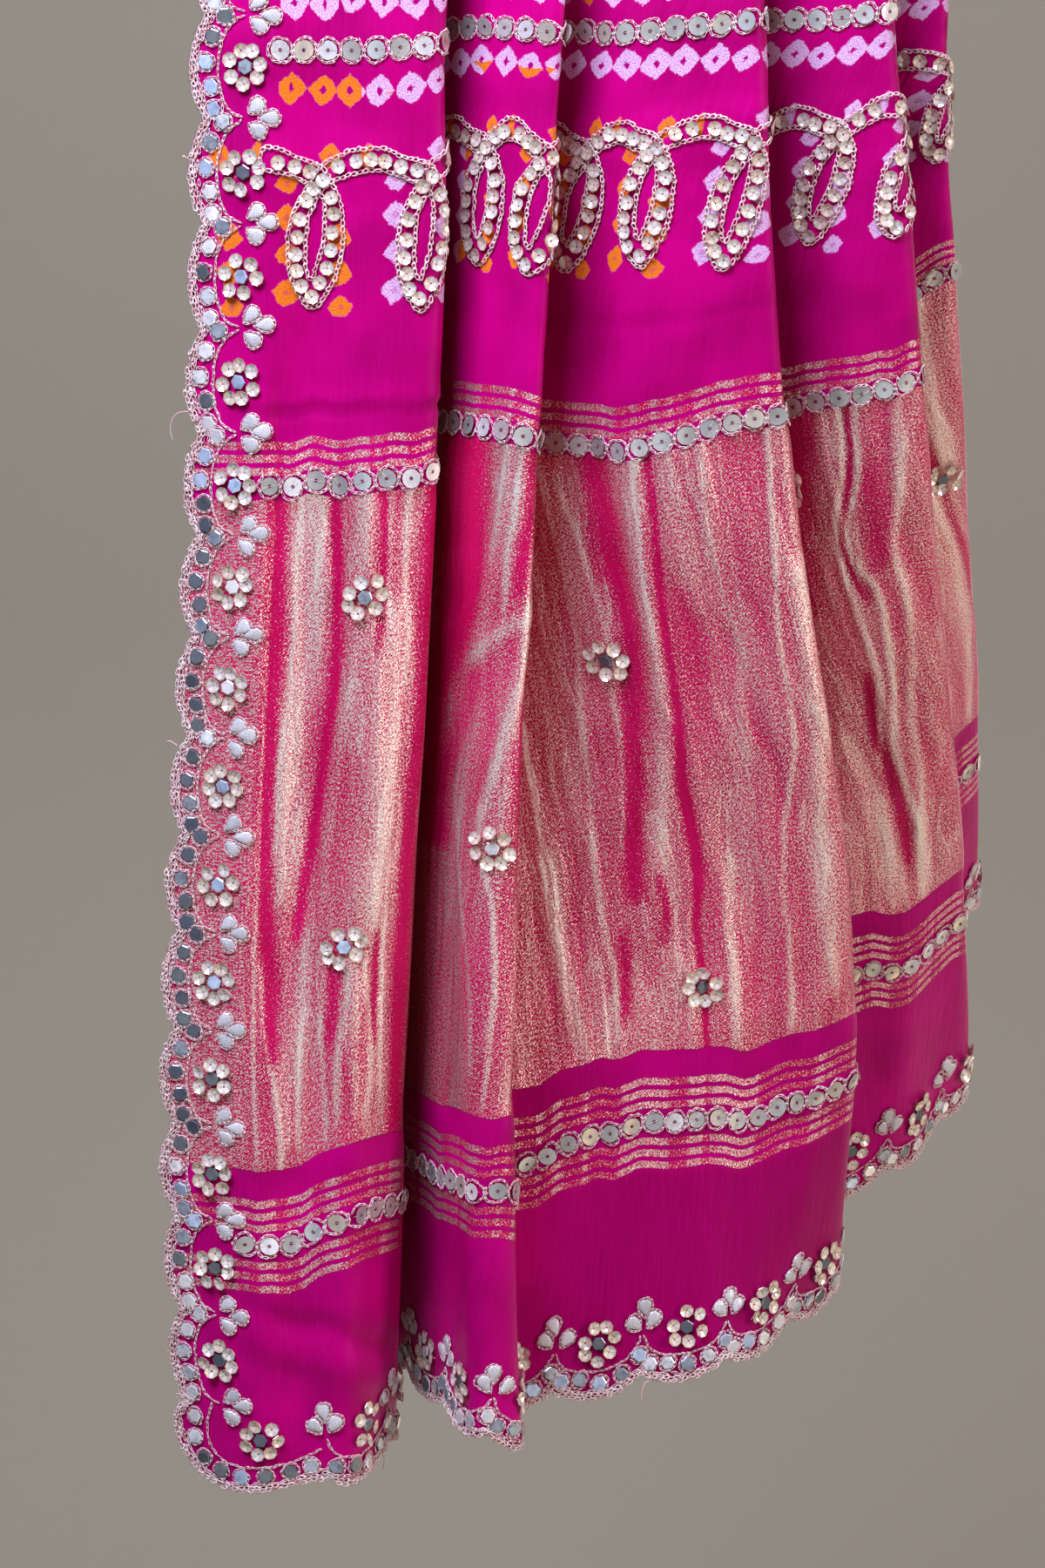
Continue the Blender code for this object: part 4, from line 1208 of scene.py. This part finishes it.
def new_group(name, inputs, outputs):
    """A shader group with named inputs and outputs; gives its tree and input wires."""
    tree = bpy.data.node_groups.new(name, "ShaderNodeTree")
    for label, kind, value in inputs:
        socket = tree.interface.new_socket(name=label, in_out="INPUT", socket_type="NodeSocket" + kind)
        if value is not None:
            socket.default_value = (*value, 1.0) if kind == "Color" else value
    for label, kind in outputs:
        tree.interface.new_socket(name=label, in_out="OUTPUT", socket_type="NodeSocket" + kind)
    source = tree.nodes.new("NodeGroupInput")
    return tree, {label: Wire(tree, source.outputs[label]) for label, kind, value in inputs}


def close_group(tree, **values):
    """Joins wires to a group's outputs; a name's underscores are spaces."""
    sink = tree.nodes.new("NodeGroupOutput")
    feed(tree, sink, named={key.replace("_", " "): value for key, value in values.items()})


def use(tree, group, **named):
    """Places a group in a material; gives its outputs by name."""
    node = tree.nodes.new("ShaderNodeGroup")
    node.node_tree = group
    feed(tree, node, named={key.replace("_", " "): value for key, value in named.items()})
    return {socket.name: Wire(tree, socket) for socket in node.outputs}


def tied_dots_group():
    """A row of ring-tied dots: undyed squares on their points, each with a dark heart."""
    tree, given = new_group("tied dots", [
        ("Along", "Float", 0.0), ("Off", "Float", 0.0), ("Pitch", "Float", 11.0),
        ("Size", "Float", 5.2), ("Seed", "Float", 0.0), ("Wobble", "Float", 0.5),
        ("Fine Wobble", "Float", 0.5)],
        [("Dot", "Float"), ("Heart", "Float"), ("Tone", "Float"), ("Half", "Float")])
    cell = (given["Along"] / given["Pitch"]).math("FLOOR")
    key = put(tree, "CombineXYZ", cell, given["Seed"], 0.0)
    first = put(tree, "TexWhiteNoise", key, out=1, noise_dimensions="3D")
    spread = parts_of(tree, first, 3)
    wobble = given["Wobble"]
    a = given["Along"] - (cell + 0.5) * given["Pitch"] + (spread[0] - 0.5) * 1.8
    b = given["Off"] + (spread[1] - 0.5) * 2.6
    lean = (spread[2] - 0.5) * 0.5
    turned_a = a + b * lean
    turned_b = b - a * lean
    square = turned_a.math("ABSOLUTE") * 1.03 + turned_b.math("ABSOLUTE") * 0.97
    round_off = (turned_a * turned_a + turned_b * turned_b).math("SQRT")
    far = square * 0.62 + round_off * 0.38
    far = far + (wobble - 0.5) * 2.6 + (given["Fine Wobble"] - 0.5) * 1.6
    size = given["Size"] + (spread[2] - 0.5) * 1.1
    dot = (size - far).part(-0.25, 0.35)
    heart_far = turned_a.math("ABSOLUTE") + turned_b.math("ABSOLUTE") * 0.8 + (wobble - 0.5) * 3.4
    heart = (heart_far * -1.0 + 1.35).part(-0.3, 0.3)
    close_group(tree, Dot=dot, Heart=heart, Tone=spread[0], Half=(b + (wobble - 0.5) * 3.0))
    return tree


def yarn_group():
    """Spun yarn: the lie of its strands, with brighter and duller places."""
    tree, given = new_group("spun yarn", [
        ("Place", "Vector", (0, 0, 0)), ("Tone", "Float", 0.5), ("Pale", "Color", (0.8, 0.6, 0.6)),
        ("Deep", "Color", (0.5, 0.3, 0.3))], [("Colour", "Color"), ("Height", "Float")])
    strands = put(tree, "TexNoise", given["Place"], None, 2600.0, 2.0, 0.6)
    patches = put(tree, "TexNoise", given["Place"], None, 160.0, 2.0)
    part = (strands * 0.55 + patches * 0.5 + given["Tone"] * 0.35).part(0.42, 0.95)
    colour = mixed(tree, part, given["Deep"], given["Pale"])
    close_group(tree, Colour=colour, Height=strands)
    return tree


def tarnish_group():
    """Foil and glass that have been handled: clouding, fine scratches and warm spots."""
    tree, given = new_group("handled shine", [
        ("Place", "Vector", (0, 0, 0)), ("Tone", "Float", 0.5), ("Bright", "Color", (0.9, 0.9, 0.9)),
        ("Dull", "Color", (0.6, 0.6, 0.6)), ("Smooth", "Float", 0.12)],
        [("Colour", "Color"), ("Roughness", "Float"), ("Height", "Float")])
    clouds = put(tree, "TexNoise", given["Place"], None, 330.0, 3.0, 0.6)
    fine = put(tree, "TexNoise", given["Place"], None, 3200.0, 2.0, 0.6)
    part = (clouds * 0.9 + given["Tone"] * 0.6 - 0.25).part(0.15, 0.8)
    colour = mixed(tree, part, given["Bright"], given["Dull"])
    rough = given["Smooth"] + clouds.part(0.45, 0.75) * 0.14
    close_group(tree, Colour=colour, Roughness=rough, Height=fine * 0.4 + clouds)
    return tree


def new_material(name):
    """A material with an empty Principled shader: its tree, and the shader."""
    made = bpy.data.materials.new(name)
    made.use_nodes = True
    return made, made.node_tree, made.node_tree.nodes["Principled BSDF"]


class FlatMap:
    """The flat cloth in the silk's shader: places in millimetres, and the noises that
    several effects share."""

    def __init__(self, tree):
        self.tree = tree
        self.flat = put(tree, "UVMap", uv_map="flat")
        place = put(tree, "VectorMath", self.flat, (1000, 1000, 1000), operation="MULTIPLY")
        self.u, self.v = parts_of(tree, place)
        self.patches = put(tree, "TexNoise", self.flat, None, 22.0, 2.0, 0.65)
        self.slubs = self.noise(900, 45, 2.0, 0.7)
        self.fine = self.noise(2600, 1500)
        self.rim = put(tree, "TexNoise", self.flat, None, 420.0, 2.0)
        self.crinkled = self.noise(170, 20, 2.0)
        warp = put(tree, "TexNoise", self.flat, None, 26.0, 1.0, out=1)
        bent = put(tree, "VectorMath", warp, (0.012, 0.02, 0.0), self.flat, operation="MULTIPLY_ADD")
        self.zones = noise(tree, bent, 62, 8, 2.0)
        self.flames = noise(tree, bent, 190, 18, 2.0)

    def noise(self, across, up, detail=1.0, rough=0.5):
        """Noise with this many cells to the metre across the cloth and up it."""
        return noise(self.tree, self.flat, across, up, detail, rough)

    def before(self, edge, softness):
        """From 1 to the left of a place across the cloth to 0 at it."""
        return (self.u * -1.0 + edge).part(0.0, softness)

    def after(self, edge, softness):
        """From 0 at a place across the cloth to 1 to the right of it."""
        return (self.u - edge).part(0.0, softness)


def plain_silk(tree, cloth):
    """The silk's colour, uneven from the dye and the yarn, with painted shade on the third face's silk below
    the band.
    """
    silk = mixed(tree, cloth.patches.part(0.3, 0.72), (0.39, 0.0, 0.115), (0.61, 0.0, 0.20))
    # Painted shade: the silk of the third face below the band is darker
    deep = cloth.after(SHADED_SILK_FROM, 50.0) * cloth.before(SHADED_SILK_TO, 50.0)
    deep = deep * (cloth.v * -1.0 + SHADED_SILK_TOP).part(0.0, 8.0)
    silk = mixed(tree, deep * 0.85, silk, (0.30, 0.0, 0.075))
    yarns = (cloth.slubs * 0.6 + cloth.fine * 0.4).part(0.30, 0.75)
    return mixed(tree, yarns * 0.34, silk, (0.68, 0.002, 0.27))


def tied_silk(tree, cloth, groups, silk):
    """Ring-tied dots in the two rows and beside the loops, dyed pale or orange."""
    phase, = parts_of(tree, put(tree, "UVMap", uv_map="loops"), 1)
    beat = (phase + 0.5).math("FLOOR")
    aside = (phase - beat) * LOOP_PITCH
    below = cloth.v - LOOP_ROW
    fine_rim = put(tree, "TexNoise", cloth.flat, None, 1900.0, 1.0)
    key = put(tree, "CombineXYZ", beat, 3.0, 0.0)
    many = put(tree, "TexWhiteNoise", key, noise_dimensions="3D")
    middle = cloth.after(ORANGE_LOOPS_FROM, 1.0) * cloth.before(ORANGE_LOOPS_TO, 1.0)
    by_loops = highest((cloth.before(ORANGE_LOOPS_BY_THE_EDGE, 1.0), middle, many.part(0.60, 0.62)))
    beside = below.part(-51.5, -50.5) * (below * -1.0).part(-1.0, 0.0)
    dots, hearts, orange = [], [], []
    for number, (along, off, pitch, size) in enumerate((
            (cloth.u, cloth.v - DOT_ROWS[0], 11.2, 6.0), (cloth.u, cloth.v - DOT_ROWS[1], 11.2, 6.0),
            (below + 2.0, aside - 9.8, 13.2, 5.1), (below + 9.0, aside + 10.6, 13.6, 5.1),
            (aside + 3.0, below - 8.2, 15.5, 5.0))):
        row = use(tree, groups["dots"], Along=along, Off=off, Pitch=pitch, Size=size,
                  Seed=number * 7.3 + 1.0, Wobble=cloth.rim, Fine_Wobble=fine_rim)
        dot, heart = row["Dot"], row["Heart"]
        if number < 2:
            dot = dot * (cloth.u - BORDER_STRIP).part(0.0, 0.5)
            warm = (row["Half"] * -1.0).part(0.2, 1.4) * row["Tone"].part(0.62, 0.64)
            warm = warm * cloth.patches.part(0.50, 0.56)
            if number == 1:
                warm = highest((cloth.before(ORANGE_BY_THE_EDGE, 1.0), warm))
        else:
            dot = dot * (beside if number < 4 else 1.0) * (row["Tone"] * -1.0).part(-0.80, -0.78)
            heart = heart * 0.35
            warm = by_loops
        dots.append(dot)
        hearts.append(heart * dot)
        orange.append(warm * dot)
    pale = mixed(tree, cloth.fine.part(0.36, 0.66), (0.66, 0.26, 0.56), (0.92, 0.72, 0.98))
    warm_dye = mixed(tree, cloth.fine.part(0.32, 0.7), (0.80, 0.14, 0.02), (0.98, 0.30, 0.008))
    dye = mixed(tree, highest(orange).part(0.3, 0.7), pale, warm_dye)
    silk = mixed(tree, highest(dots), silk, dye)
    return mixed(tree, highest(hearts), silk, (0.46, 0.0, 0.18))


def painted_band_shine(tree, cloth):
    """How much gold the band shows, and how pale: a painted highlight that ripples like flames and gleams on
    its creases, with painted shade in the troughs.
    """
    zones, flames = cloth.zones, cloth.flames
    sway = (cloth.noise(60, 25, 2.0) - 0.5) * 3.0 + (cloth.rim - 0.5) * 1.2
    creased = painted_gleam_of_creases(tree, cloth.u + sway, cloth.v)
    # Painted highlight: broad zones, flame-like streaks and their thin bright edges; then the creases'
    # painted highlight and shade, and more painted highlight on the last face
    lines = ((flames - 0.5).math("ABSOLUTE") * -1.0).part(-0.030, -0.004) * zones.part(0.45, 0.58)
    shine = zones.part(0.36, 0.62) * 0.24 + flames.part(0.38, 0.62) * 0.17 + lines * 0.36 + 0.17
    shine = shine + creased * (flames * 0.5 + 0.40) + cloth.after(PAINTED_GLEAM_FROM, 20.0) * 0.2
    shine = shine + (cloth.crinkled - 0.5) * 0.45
    # The strip under the border's stitches shows short dark floats
    floats = cloth.noise(330, 1500).part(0.42, 0.58)
    border = cloth.before(BORDER_STRIP, 1.5)
    return shine * (border * -1.0 + 1.0) + border * (floats * -0.75 + 0.82)


def gold_places(cloth):
    """Where gold yarn is woven in: the band alone, and the band with its stripes."""
    height = cloth.v + (cloth.noise(1500, 60) - 0.5) * 0.8 + (cloth.crinkled - 0.5) * 0.8
    band = (height - BAND[0]).part(-0.1, 0.1) * (height * -1.0 + BAND[1]).part(-0.1, 0.1)
    gold = band
    for foot in STRIPE_SETS:
        rise = height - foot
        inside = rise.part(-0.1, 0.1) * (rise * -1.0 + 3 * STRIPE_PITCH - 0.3).part(-0.1, 0.1)
        stripe = (rise.math("FLOORED_MODULO", STRIPE_PITCH) * -1.0 + STRIPE).part(-0.1, 0.1)
        gold = gold + inside * stripe
    return band, gold


def twill(tree, cloth, band, shine):
    """The twill of rose silk and gold yarn: its colour, and how much is gold. Both follow the shine, a
    painted highlight: more gold shows, and paler, where it is higher.
    """
    slant = cloth.u * 0.62 - cloth.v * 0.78
    ribs = ((slant + (cloth.rim - 0.5) * 1.2) * (2 * math.pi / 0.92)).math("SINE")
    speck = cloth.fine * 0.4 + cloth.noise(1250, 900, 1.0, 0.8) * 0.6
    patchy = cloth.noise(120, 5, 2.0).part(0.42, 0.56)
    shine = shine * band + (patchy * 0.62 + 0.06) * (band * -1.0 + 1.0)
    grain = ribs * 0.36 + (speck - 0.5) * 8.0
    # The painted highlight shows more gold, and paler gold
    yarn = (grain + (shine - 0.42) * 1.35).part(-0.60, 0.60)
    rose = mixed(tree, cloth.patches.part(0.35, 0.7), (0.54, 0.003, 0.080), (0.68, 0.007, 0.118))
    painted_highlight = (shine * 0.85 + grain * 0.70).part(0.25, 1.40)
    gold_yarn = mixed(tree, painted_highlight, (0.70, 0.225, 0.265), (1.0, 0.97, 0.84))
    return mixed(tree, yarn * 0.96, rose, gold_yarn), yarn


def silk_relief(cloth, gold):
    """Heights of the silk's grain and of fine ripples that the mesh doesn't carry."""
    rows = highest([((cloth.v - row).math("ABSOLUTE") * -1.0).part(-15.0, -3.0)
                    for row in DISC_ROWS + (LOOP_ROW + 4.0,)])
    heights = gold * (cloth.zones * 0.0016 + cloth.flames * 0.0012 + cloth.crinkled * 0.0009
                      + cloth.fine * 0.00030)
    heights = heights + cloth.noise(420, 60, 2.0) * 0.00032
    return heights + cloth.noise(230, 26, 2.0) * rows * 0.0011 + cloth.slubs * 0.00008


def silk_finish(groups):
    """Magenta silk, ring-tied and dyed, with the woven gold band and stripes, painted highlight and shade on
    the gold and painted shade on the lower silk.
    """
    made, tree, shader = new_material("magenta silk and gold")
    cloth = FlatMap(tree)
    silk = tied_silk(tree, cloth, groups, plain_silk(tree, cloth))
    band, gold = gold_places(cloth)
    woven, yarn = twill(tree, cloth, band, painted_band_shine(tree, cloth))
    feed(tree, shader, named={
        "Base Color": mixed(tree, gold, silk, woven), "Metallic": gold * yarn * 0.6,
        "Roughness": mixed_value(gold, 0.46, 0.24),
        "Normal": bumped(tree, silk_relief(cloth, gold)),
        "Specular Tint": (1.0, 0.10, 0.75, 1.0), "Specular IOR Level": 0.28})
    return made


def yarn_finish(groups, name, pale, deep, metallic):
    """Twisted embroidery yarn."""
    made, tree, shader = new_material(name)
    place = put(tree, "TexCoord", out=3)
    tone = put(tree, "Attribute", out=2, attribute_name="tone")
    yarn = use(tree, groups["yarn"], Place=place, Tone=tone, Pale=(*pale, 1), Deep=(*deep, 1))
    feed(tree, shader, named={"Base Color": yarn["Colour"], "Roughness": 0.5, "Metallic": metallic,
                              "Normal": bumped(tree, yarn["Height"], 0.6, 0.0002)})
    return made


def shine_finish(groups, name, tones, dull, smooth, metallic=0.6, stamp=None):
    """Foil, glass or netted foil, with the marks of handling. No two take the light
    alike, so their colour goes by the tone each was given; for mirrors these colours are
    painted reflections, and for discs and petals they are partly painted reflections."""
    made, tree, shader = new_material(name)
    place = put(tree, "TexCoord", out=3)
    tone = put(tree, "Attribute", out=2, attribute_name="tone")
    steps = [(index / len(tones), colour) for index, colour in enumerate(tones)]
    shine = use(tree, groups["shine"], Place=place, Tone=tone, Bright=stepped(tree, tone, steps),
                Dull=(*dull, 1), Smooth=smooth)
    colour, rough, height = shine["Colour"], shine["Roughness"], shine["Height"] * 0.00003
    metal = metallic
    a, b = [part - 0.5 for part in parts_of(tree, put(tree, "UVMap", uv_map="own"))]
    reach = (a * a + b * b).math("SQRT")
    around = b.math("ARCTAN2", a)
    if stamp == "net":
        first = ((a + b) * 25.0).math("SINE").math("ABSOLUTE")
        second = ((a - b) * 25.0).math("SINE").math("ABSOLUTE")
        mesh = (first.math("MINIMUM", second) * -1.0).part(-0.55, -0.25)
        colour = mixed(tree, mesh * 0.8, colour, (0.58, 0.58, 0.61))
        rough = rough + mesh * 0.3
        height = height + mesh * 0.00015
        metal = mesh * -0.5 + metallic
    elif stamp == "star":
        # Painted reflection and shade: darker points on the facets and a darker rim
        points = (around * 4.0 + tone * 6.0).math("SINE").part(-0.25, 0.25)
        colour = mixed(tree, points * reach.part(0.0, 0.12) * 0.35, colour, (0.34, 0.24, 0.16))
        colour = mixed(tree, reach.part(0.19, 0.28) * 0.55, colour, (0.40, 0.29, 0.15))
        colour = mixed(tree, (reach * -1.0).part(-0.055, -0.03) * 0.9, colour, (0.16, 0.03, 0.07))
    elif stamp == "spokes":
        spokes = (around * 14.0 + tone * 6.0).math("SINE").part(0.2, 1.0)
        colour = mixed(tree, spokes * (reach * -1.0).part(-0.30, -0.12) * 0.35, colour, (0.25, 0.24, 0.22))
        colour = mixed(tree, (reach * -1.0).part(-0.095, -0.06) * 0.9, colour, (0.22, 0.02, 0.08))
    feed(tree, shader, named={"Base Color": colour, "Roughness": rough, "Metallic": metal,
                              "Normal": bumped(tree, height), "Coat Weight": 0.3})
    return made


# ---------------------------------------------------------------- the studio

def soft_light(name, place, size, power, aim, colour):
    """A soft box aimed at the cloth."""
    data = bpy.data.lights.new(name, "AREA")
    data.shape = "RECTANGLE"
    data.size, data.size_y = size
    data.energy = power
    data.color = colour
    lamp = bpy.data.objects.new(name, data)
    lamp.location = place
    lamp.rotation_euler = (Vector(aim) - Vector(place)).to_track_quat("-Z", "Y").to_euler()
    bpy.context.scene.collection.objects.link(lamp)


def backdrop_finish():
    """Pale paint that is seen from its front only and isn't mirrored."""
    made, tree, shader = new_material("pale backdrop")
    place = put(tree, "TexCoord", out=3)
    cloud = put(tree, "TexNoise", place, None, 1.2, 2.0)
    colour = mixed(tree, cloud, (0.40, 0.375, 0.28), (0.44, 0.41, 0.305))
    feed(tree, shader, named={"Base Color": colour, "Roughness": 0.9})
    behind = put(tree, "NewGeometry", out=6).math("MAXIMUM", put(tree, "LightPath", out=3))
    clear = put(tree, "BsdfTransparent")
    seen = put(tree, "MixShader", behind, Wire(tree, shader.outputs[0]), clear)
    tree.links.new(seen.socket, tree.nodes["Material Output"].inputs["Surface"])
    return made


def make_backdrop():
    """A floor and backdrop in one sweep."""
    bm = bmesh.new()
    start = bm.verts.new((-SWEEP_HALF, -SWEEP_HALF, FLOOR))
    low = bm.verts.new((-SWEEP_HALF, WALL - SWEEP_RADIUS, FLOOR))
    bm.edges.new((start, low))
    arc = bmesh.ops.spin(bm, geom=[low], cent=(0, WALL - SWEEP_RADIUS, FLOOR + SWEEP_RADIUS),
                         axis=(1, 0, 0), angle=math.pi / 2, steps=16)["geom_last"]
    last = [part for part in arc if isinstance(part, bmesh.types.BMVert)][0]
    bm.edges.new((last, bm.verts.new((-SWEEP_HALF, WALL, WALL_TOP))))
    wide = bmesh.ops.extrude_edge_only(bm, edges=bm.edges[:])["geom"]
    moved = [part for part in wide if isinstance(part, bmesh.types.BMVert)]
    bmesh.ops.translate(bm, verts=moved, vec=(2 * SWEEP_HALF, 0, 0))
    bmesh.ops.recalc_face_normals(bm, faces=bm.faces)
    bm.faces.ensure_lookup_table()
    if max(bm.faces, key=lambda face: face.calc_area()).normal.z < 0:
        bmesh.ops.reverse_faces(bm, faces=bm.faces)
    mesh = bpy.data.meshes.new("floor_and_backdrop")
    bm.to_mesh(mesh)
    bm.free()
    mesh.shade_smooth()
    mesh.materials.append(backdrop_finish())
    floor = bpy.data.objects.new("floor_and_backdrop", mesh)
    bpy.context.scene.collection.objects.link(floor)


def make_world():
    """The light of the room, and what foil and mirrors show of it."""
    world = bpy.data.worlds.new("studio")
    world.use_nodes = True
    bpy.context.scene.world = world
    tree = world.node_tree
    back = tree.nodes["Background"]
    seen = put(tree, "LightPath", out=0)
    gloss = put(tree, "LightPath", out=3)
    right, back_off = parts_of(tree, put(tree, "TexCoord"))
    way = right.math("ARCTAN2", back_off * -1.0)
    strips = ((way * 9.0 + 0.6).math("SINE") + (way * 23.0 + 1.0).math("SINE") * 0.6).part(-0.6, 1.3)
    lit = way.part(-1.3, -0.6).math("MAXIMUM", (way * -1.0).part(2.3, 2.7))
    warm = mixed(tree, way.part(0.2, 1.0), (1.05, 0.99, 1.03), (1.6, 1.30, 1.0))
    mirrored = mixed(tree, (strips * 0.8 + 0.2) * lit, (0.04, 0.04, 0.05), warm)
    colour = mixed(tree, gloss, (0.10, 0.08, 0.07), mirrored)
    colour = mixed(tree, seen, colour, (0.28, 0.255, 0.21))
    tree.links.new(colour.socket, back.inputs["Color"])
    back.inputs["Strength"].default_value = 1.0


def make_camera():
    """The camera, at the assumed place of the photograph's."""
    data = bpy.data.cameras.new("photo")
    data.lens = LENS
    data.sensor_width = 36.0
    camera = bpy.data.objects.new("photo", data)
    back_off = Vector((0, -math.cos(PITCH_DOWN), math.sin(PITCH_DOWN))) * DISTANCE
    camera.location = AIM + back_off
    camera.rotation_euler = (math.pi / 2 - PITCH_DOWN, 0, 0)
    bpy.context.scene.collection.objects.link(camera)
    bpy.context.scene.camera = camera
    bpy.context.scene.view_settings.view_transform = "Standard"


def main():
    cloth = HangingCloth()
    groups = {"dots": tied_dots_group(), "yarn": yarn_group(), "shine": tarnish_group()}
    silk = silk_finish(groups)
    yarn = yarn_finish(groups, "silver pink yarn", (1.0, 0.88, 0.82), (0.82, 0.52, 0.51), 0.1)
    fibre = yarn_finish(groups, "frayed silk", (0.50, 0.01, 0.30), (0.30, 0.0, 0.16), 0.0)
    foil = shine_finish(groups, "champagne foil", FOIL_TONES, (0.92, 0.80, 0.66), 0.10, 0.25, "star")
    plate = shine_finish(groups, "holed disc foil", DISC_TONES_AND_REFLECTIONS, (0.56, 0.56, 0.50), 0.14, 0.4, "spokes")
    glass = shine_finish(groups, "cut mirror", PAINTED_MIRROR_REFLECTIONS, (0.12, 0.14, 0.17), 0.05, 0.4)
    netted = shine_finish(groups, "netted foil", PETAL_TONES_AND_REFLECTIONS, (0.86, 0.86, 0.84), 0.20, 0.12, "net")

    sheet = make_cloth(cloth, silk)
    sewn = Embroidery(cloth)
    sewn.border()
    sewn.band_flowers()
    for row in DISC_ROWS:
        sewn.disc_row(row)
    sewn.loop_row()
    edge = sewn.edge_stitches.make(yarn, "edge_thread", 2)
    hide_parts("edge_cord")
    sewn.border_stitches.make(yarn, "edge_thread", 3)
    sewn.row_stitches.make(yarn, "edge_thread", 4)
    sewn.loop_stitches.make(yarn, "edge_thread", 5)
    sewn.bars.make(yarn, "edge_thread", 6)
    sewn.fibres.make(fibre, "silk", 7)
    sewn.sequins.make(foil, "sequin", 8)
    flowers = sewn.flower_sequins.make(foil, "sequin", 9)
    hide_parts(*[f"band_flower_{index:02d}" for index in range(1, len(BAND_FLOWERS) + 1)])
    sewn.discs.make(plate, "sequin", 10)
    sewn.mirrors.make(glass, "sequin", 11)
    sewn.petals.make(netted, "sequin", 12)
    loose_ends(cloth, yarn)
    make_backdrop()
    make_world()
    for box in SOFT_BOXES:
        soft_light(*box)
    make_camera()


main()
